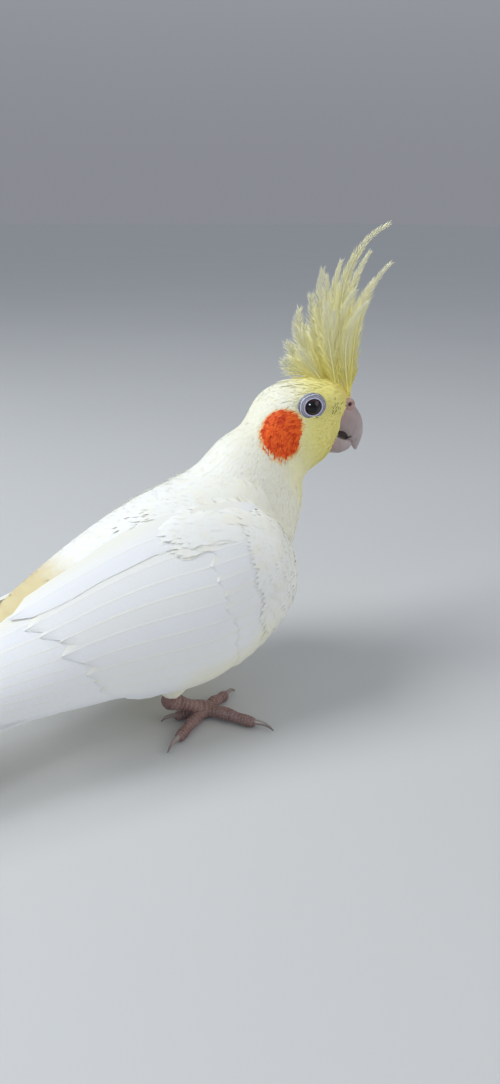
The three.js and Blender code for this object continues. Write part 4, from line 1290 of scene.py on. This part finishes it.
def footShading():
    g = Shading("scalySkin")
    ringed = g.attribute("scales")
    cells = g.add("ShaderNodeTexVoronoi", {"feature": "DISTANCE_TO_EDGE"},
                  {"Vector": g.here, "Scale": 1300.0})
    crack = 1.0 - g.ramp(cells, 0.02, 0.16)
    colour = g.colour(leg["skin"], leg["darkSkin"], g.ramp(g.noise(g.here, 300.0), 0.4, 0.7))
    colour = g.colour(colour, leg["scale"], g.ramp(ringed, 0.5, 1.0) * 0.5)
    colour = g.colour(colour, leg["crack"], crack * 0.5)
    return g.finish(colour, 0.55, cells * 2.0 + ringed, 0.5, 0.00025, {"Specular IOR Level": 0.35})


def clawShading():
    g = Shading("clawHorn")
    colour = g.colour(claw["root"], claw["tip"], g.ramp(g.attribute("along"), 0.3, 1.0))
    return g.finish(colour, 0.35, None, sockets={"Specular IOR Level": 0.45})


footMaterial, clawMaterial = footShading(), clawShading()


def tubeRings(path, size, sides=16, flat=1.0):
    along = unit(np.gradient(path, axis=0))
    across = unit(np.cross(along, (0, 0, 1.0)) + 1e-6)
    up = np.cross(across, along)
    turn = aroundCircle(sides)
    return (path[:, None] + (size[:, None] * np.cos(turn))[..., None] * across[:, None]
            + (size[:, None] * np.sin(turn) * flat)[..., None] * up[:, None])


def toeWay(side, heading):
    return np.array((math.cos(math.radians(heading)), side * math.sin(math.radians(heading)), 0))


def scaleRings(t, count):
    return 0.5 + 0.5 * np.cos(t * 2 * math.pi * count)


def makeFoot(side):
    name = sideName(side)
    fork, ankle = [np.array((leg[key][0], side * leg["spread"], leg[key][1]))
                   for key in ("fork", "ankle")]
    parts, scales = [], []

    def put(rings, ringed):
        parts.append(loft(rings))
        scales.append(alongRings(ringed, rings.shape[1], (0, 0)))

    t = np.linspace(0, 1, 44)
    ringed = scaleRings(t, leg["rings"])
    size = leg["tarsusRadius"] * (1 + 0.20 * np.cos(t * 2 * math.pi)) + 0.10 * ringed
    put(tubeRings(mix(ankle, fork, t[:, None]), size), ringed)
    for heading, length, radius in toes:
        way = toeWay(side, heading)
        path = splineAt([fork] + [[*(fork + way * length * share)[:2], radius * height]
                                  for share, height in ((0.35, 1.25), (0.7, 0.98), (1, 0.8))], t)
        ringed = scaleRings(t, round(length / 1.15))
        pads = 1 + 0.08 * np.cos(t * math.pi * 5)
        end = roundedEnd(t, 0.9, 0.11, 0.1)
        put(tubeRings(path, radius * mix(1.03, 0.74, t) * pads * end + 0.07 * ringed), ringed)
    spherePoints, sphereTriangles = ball(4)
    for centre, radii in zip((fork, ankle), leg["knuckles"]):
        parts.append((spherePoints * radii + centre, sphereTriangles))
        scales.append(np.full(len(spherePoints), 0.3))
    points, triangles = joinParts(parts)
    points[:, 2] = np.maximum(points[:, 2], 0.02)
    piece = makeObject("foot" + name, points, triangles, footMaterial,
                       attributes={"scales": np.concatenate(scales)})
    settle(piece, "scaly_skin", "foot_" + name.lower())
    for number, (heading, length, radius) in enumerate(toes, 1):
        way = toeWay(side, heading)
        base = np.array((fork[0], fork[1], 0))
        reach = 2.2 + length * 0.2
        a, b, c = [base + way * d + (0, 0, z) for d, z in
                   ((length - 1.6, radius * 0.85), (length + reach * 0.6, radius * 1.5),
                    (length + reach, 0.45))]
        k = np.linspace(0, 1, 24)[:, None]
        path = a * (1 - k) ** 2 + 2 * b * k * (1 - k) + c * k ** 2
        size = mix(*claw["radii"], k[:, 0] ** 1.3)
        points, triangles = loft(tubeRings(path, size, claw["sides"], 1.15))
        piece = makeObject(f"claw{name}{number}", points, triangles, clawMaterial,
                           attributes={"along": alongRings(k[:, 0], claw["sides"])})
        settle(piece, "claw_horn", f"claw_{name.lower()}_{number}")


makeFoot(-1)
makeFoot(1)
print("feet ready")

# Stage, light and camera

view = {
    "from": (-107.765, -190.694, 150.0),
    "right": (0.82221613, -0.56903365, 0.0127019),
    "down": (-0.21581705, -0.33233597, -0.91813714),
    "lens": 25.904, "sensor": 36, "near": 0.005,
}


def makeCamera():
    data = bpy.data.cameras.new("camera")
    data.lens = view["lens"]
    data.sensor_width = view["sensor"]
    data.clip_start = view["near"]
    camera = bpy.data.objects.new("camera", data)
    bpy.context.scene.collection.objects.link(camera)
    right = Vector(view["right"]).normalized()
    up = -Vector(view["down"]).normalized()
    turn = Matrix((right, up, right.cross(up))).transposed().to_4x4()
    camera.matrix_world = Matrix.Translation(metres(*view["from"])) @ turn
    bpy.context.scene.camera = camera


def makeLight(name, place, size, power, colour, mirrorOnly=False):
    data = bpy.data.lights.new(name, "AREA")
    data.shape = "DISK"
    data.size = size
    data.energy = power
    data.color = colour
    light = bpy.data.objects.new(name, data)
    bpy.context.scene.collection.objects.link(light)
    place = Vector(metres(*place))
    light.location = place
    light.visible_diffuse = not mirrorOnly
    light.rotation_euler = (Vector(metres(*room["target"])) - place).to_track_quat("-Z", "Y").to_euler()


room = {
    "low": (0.25, 0.26, 0.285), "high": (0.40, 0.43, 0.48), "target": (0, 0, 60),
    "floor": (0.60, 0.605, 0.60), "floorSpot": (0.57, 0.575, 0.57), "floorHalf": 6000,
    "lights": {
        "window": {"place": (-520, 180, 620), "size": 0.45, "power": 5.0, "colour": (0.95, 0.98, 1.0)},
        "room": {"place": (450, -500, 380), "size": 0.6, "power": 1.2, "colour": (1.0, 0.96, 0.90)},
    },
    "glint": {"size": 0.24, "power": 5.0, "colour": (0.86, 0.92, 1.0), "mirrorOnly": True},
    "glintAway": 800, "glintLeft": 0.44, "glintUp": 0.40,
}


def makeGlint():
    # a small lamp whose reflection sits at the upper left of the pupil in the main view
    eyeSpot = headPoint(0, -12, 0)
    toCamera = unit(np.array(view["from"]) - eyeSpot)
    left, up = -np.array(view["right"]), -np.array(view["down"])
    slope = unit(headWay(0, -1, 0) + room["glintLeft"] * left + room["glintUp"] * up)
    away = 2 * slope.dot(toCamera) * slope - toCamera
    makeLight("glint", tuple(eyeSpot + room["glintAway"] * away), **room["glint"])


def makeStage():
    g = Shading("paleFloor")
    material = g.finish(g.colour(room["floor"], room["floorSpot"], g.noise(g.here, 6.0)), 0.85)
    corners = np.array([(-1, -1, 0), (1, -1, 0), (1, 1, 0), (-1, 1, 0)], float) * room["floorHalf"]
    makeObject("floor", corners - (0, 0, birdOrigin[2]), [(0, 1, 2), (0, 2, 3)], material)
    world = bpy.data.worlds.new("softRoom")
    world.use_nodes = True
    sky = Graph(world.node_tree)
    rise = sky.add("ShaderNodeSeparateXYZ", {}, [sky.add("ShaderNodeTexCoord")], "Z")
    colour = sky.colour(room["low"], room["high"], sky.ramp(rise, 0.02, 0.55))
    sky.tree.links.new(colour.socket, sky.tree.nodes["Background"].inputs["Color"])
    bpy.context.scene.world = world
    for name, light in room["lights"].items():
        makeLight(name, **light)
    makeGlint()
    bpy.context.scene.view_settings.view_transform = "Standard"


makeStage()
makeCamera()
print("stage ready")
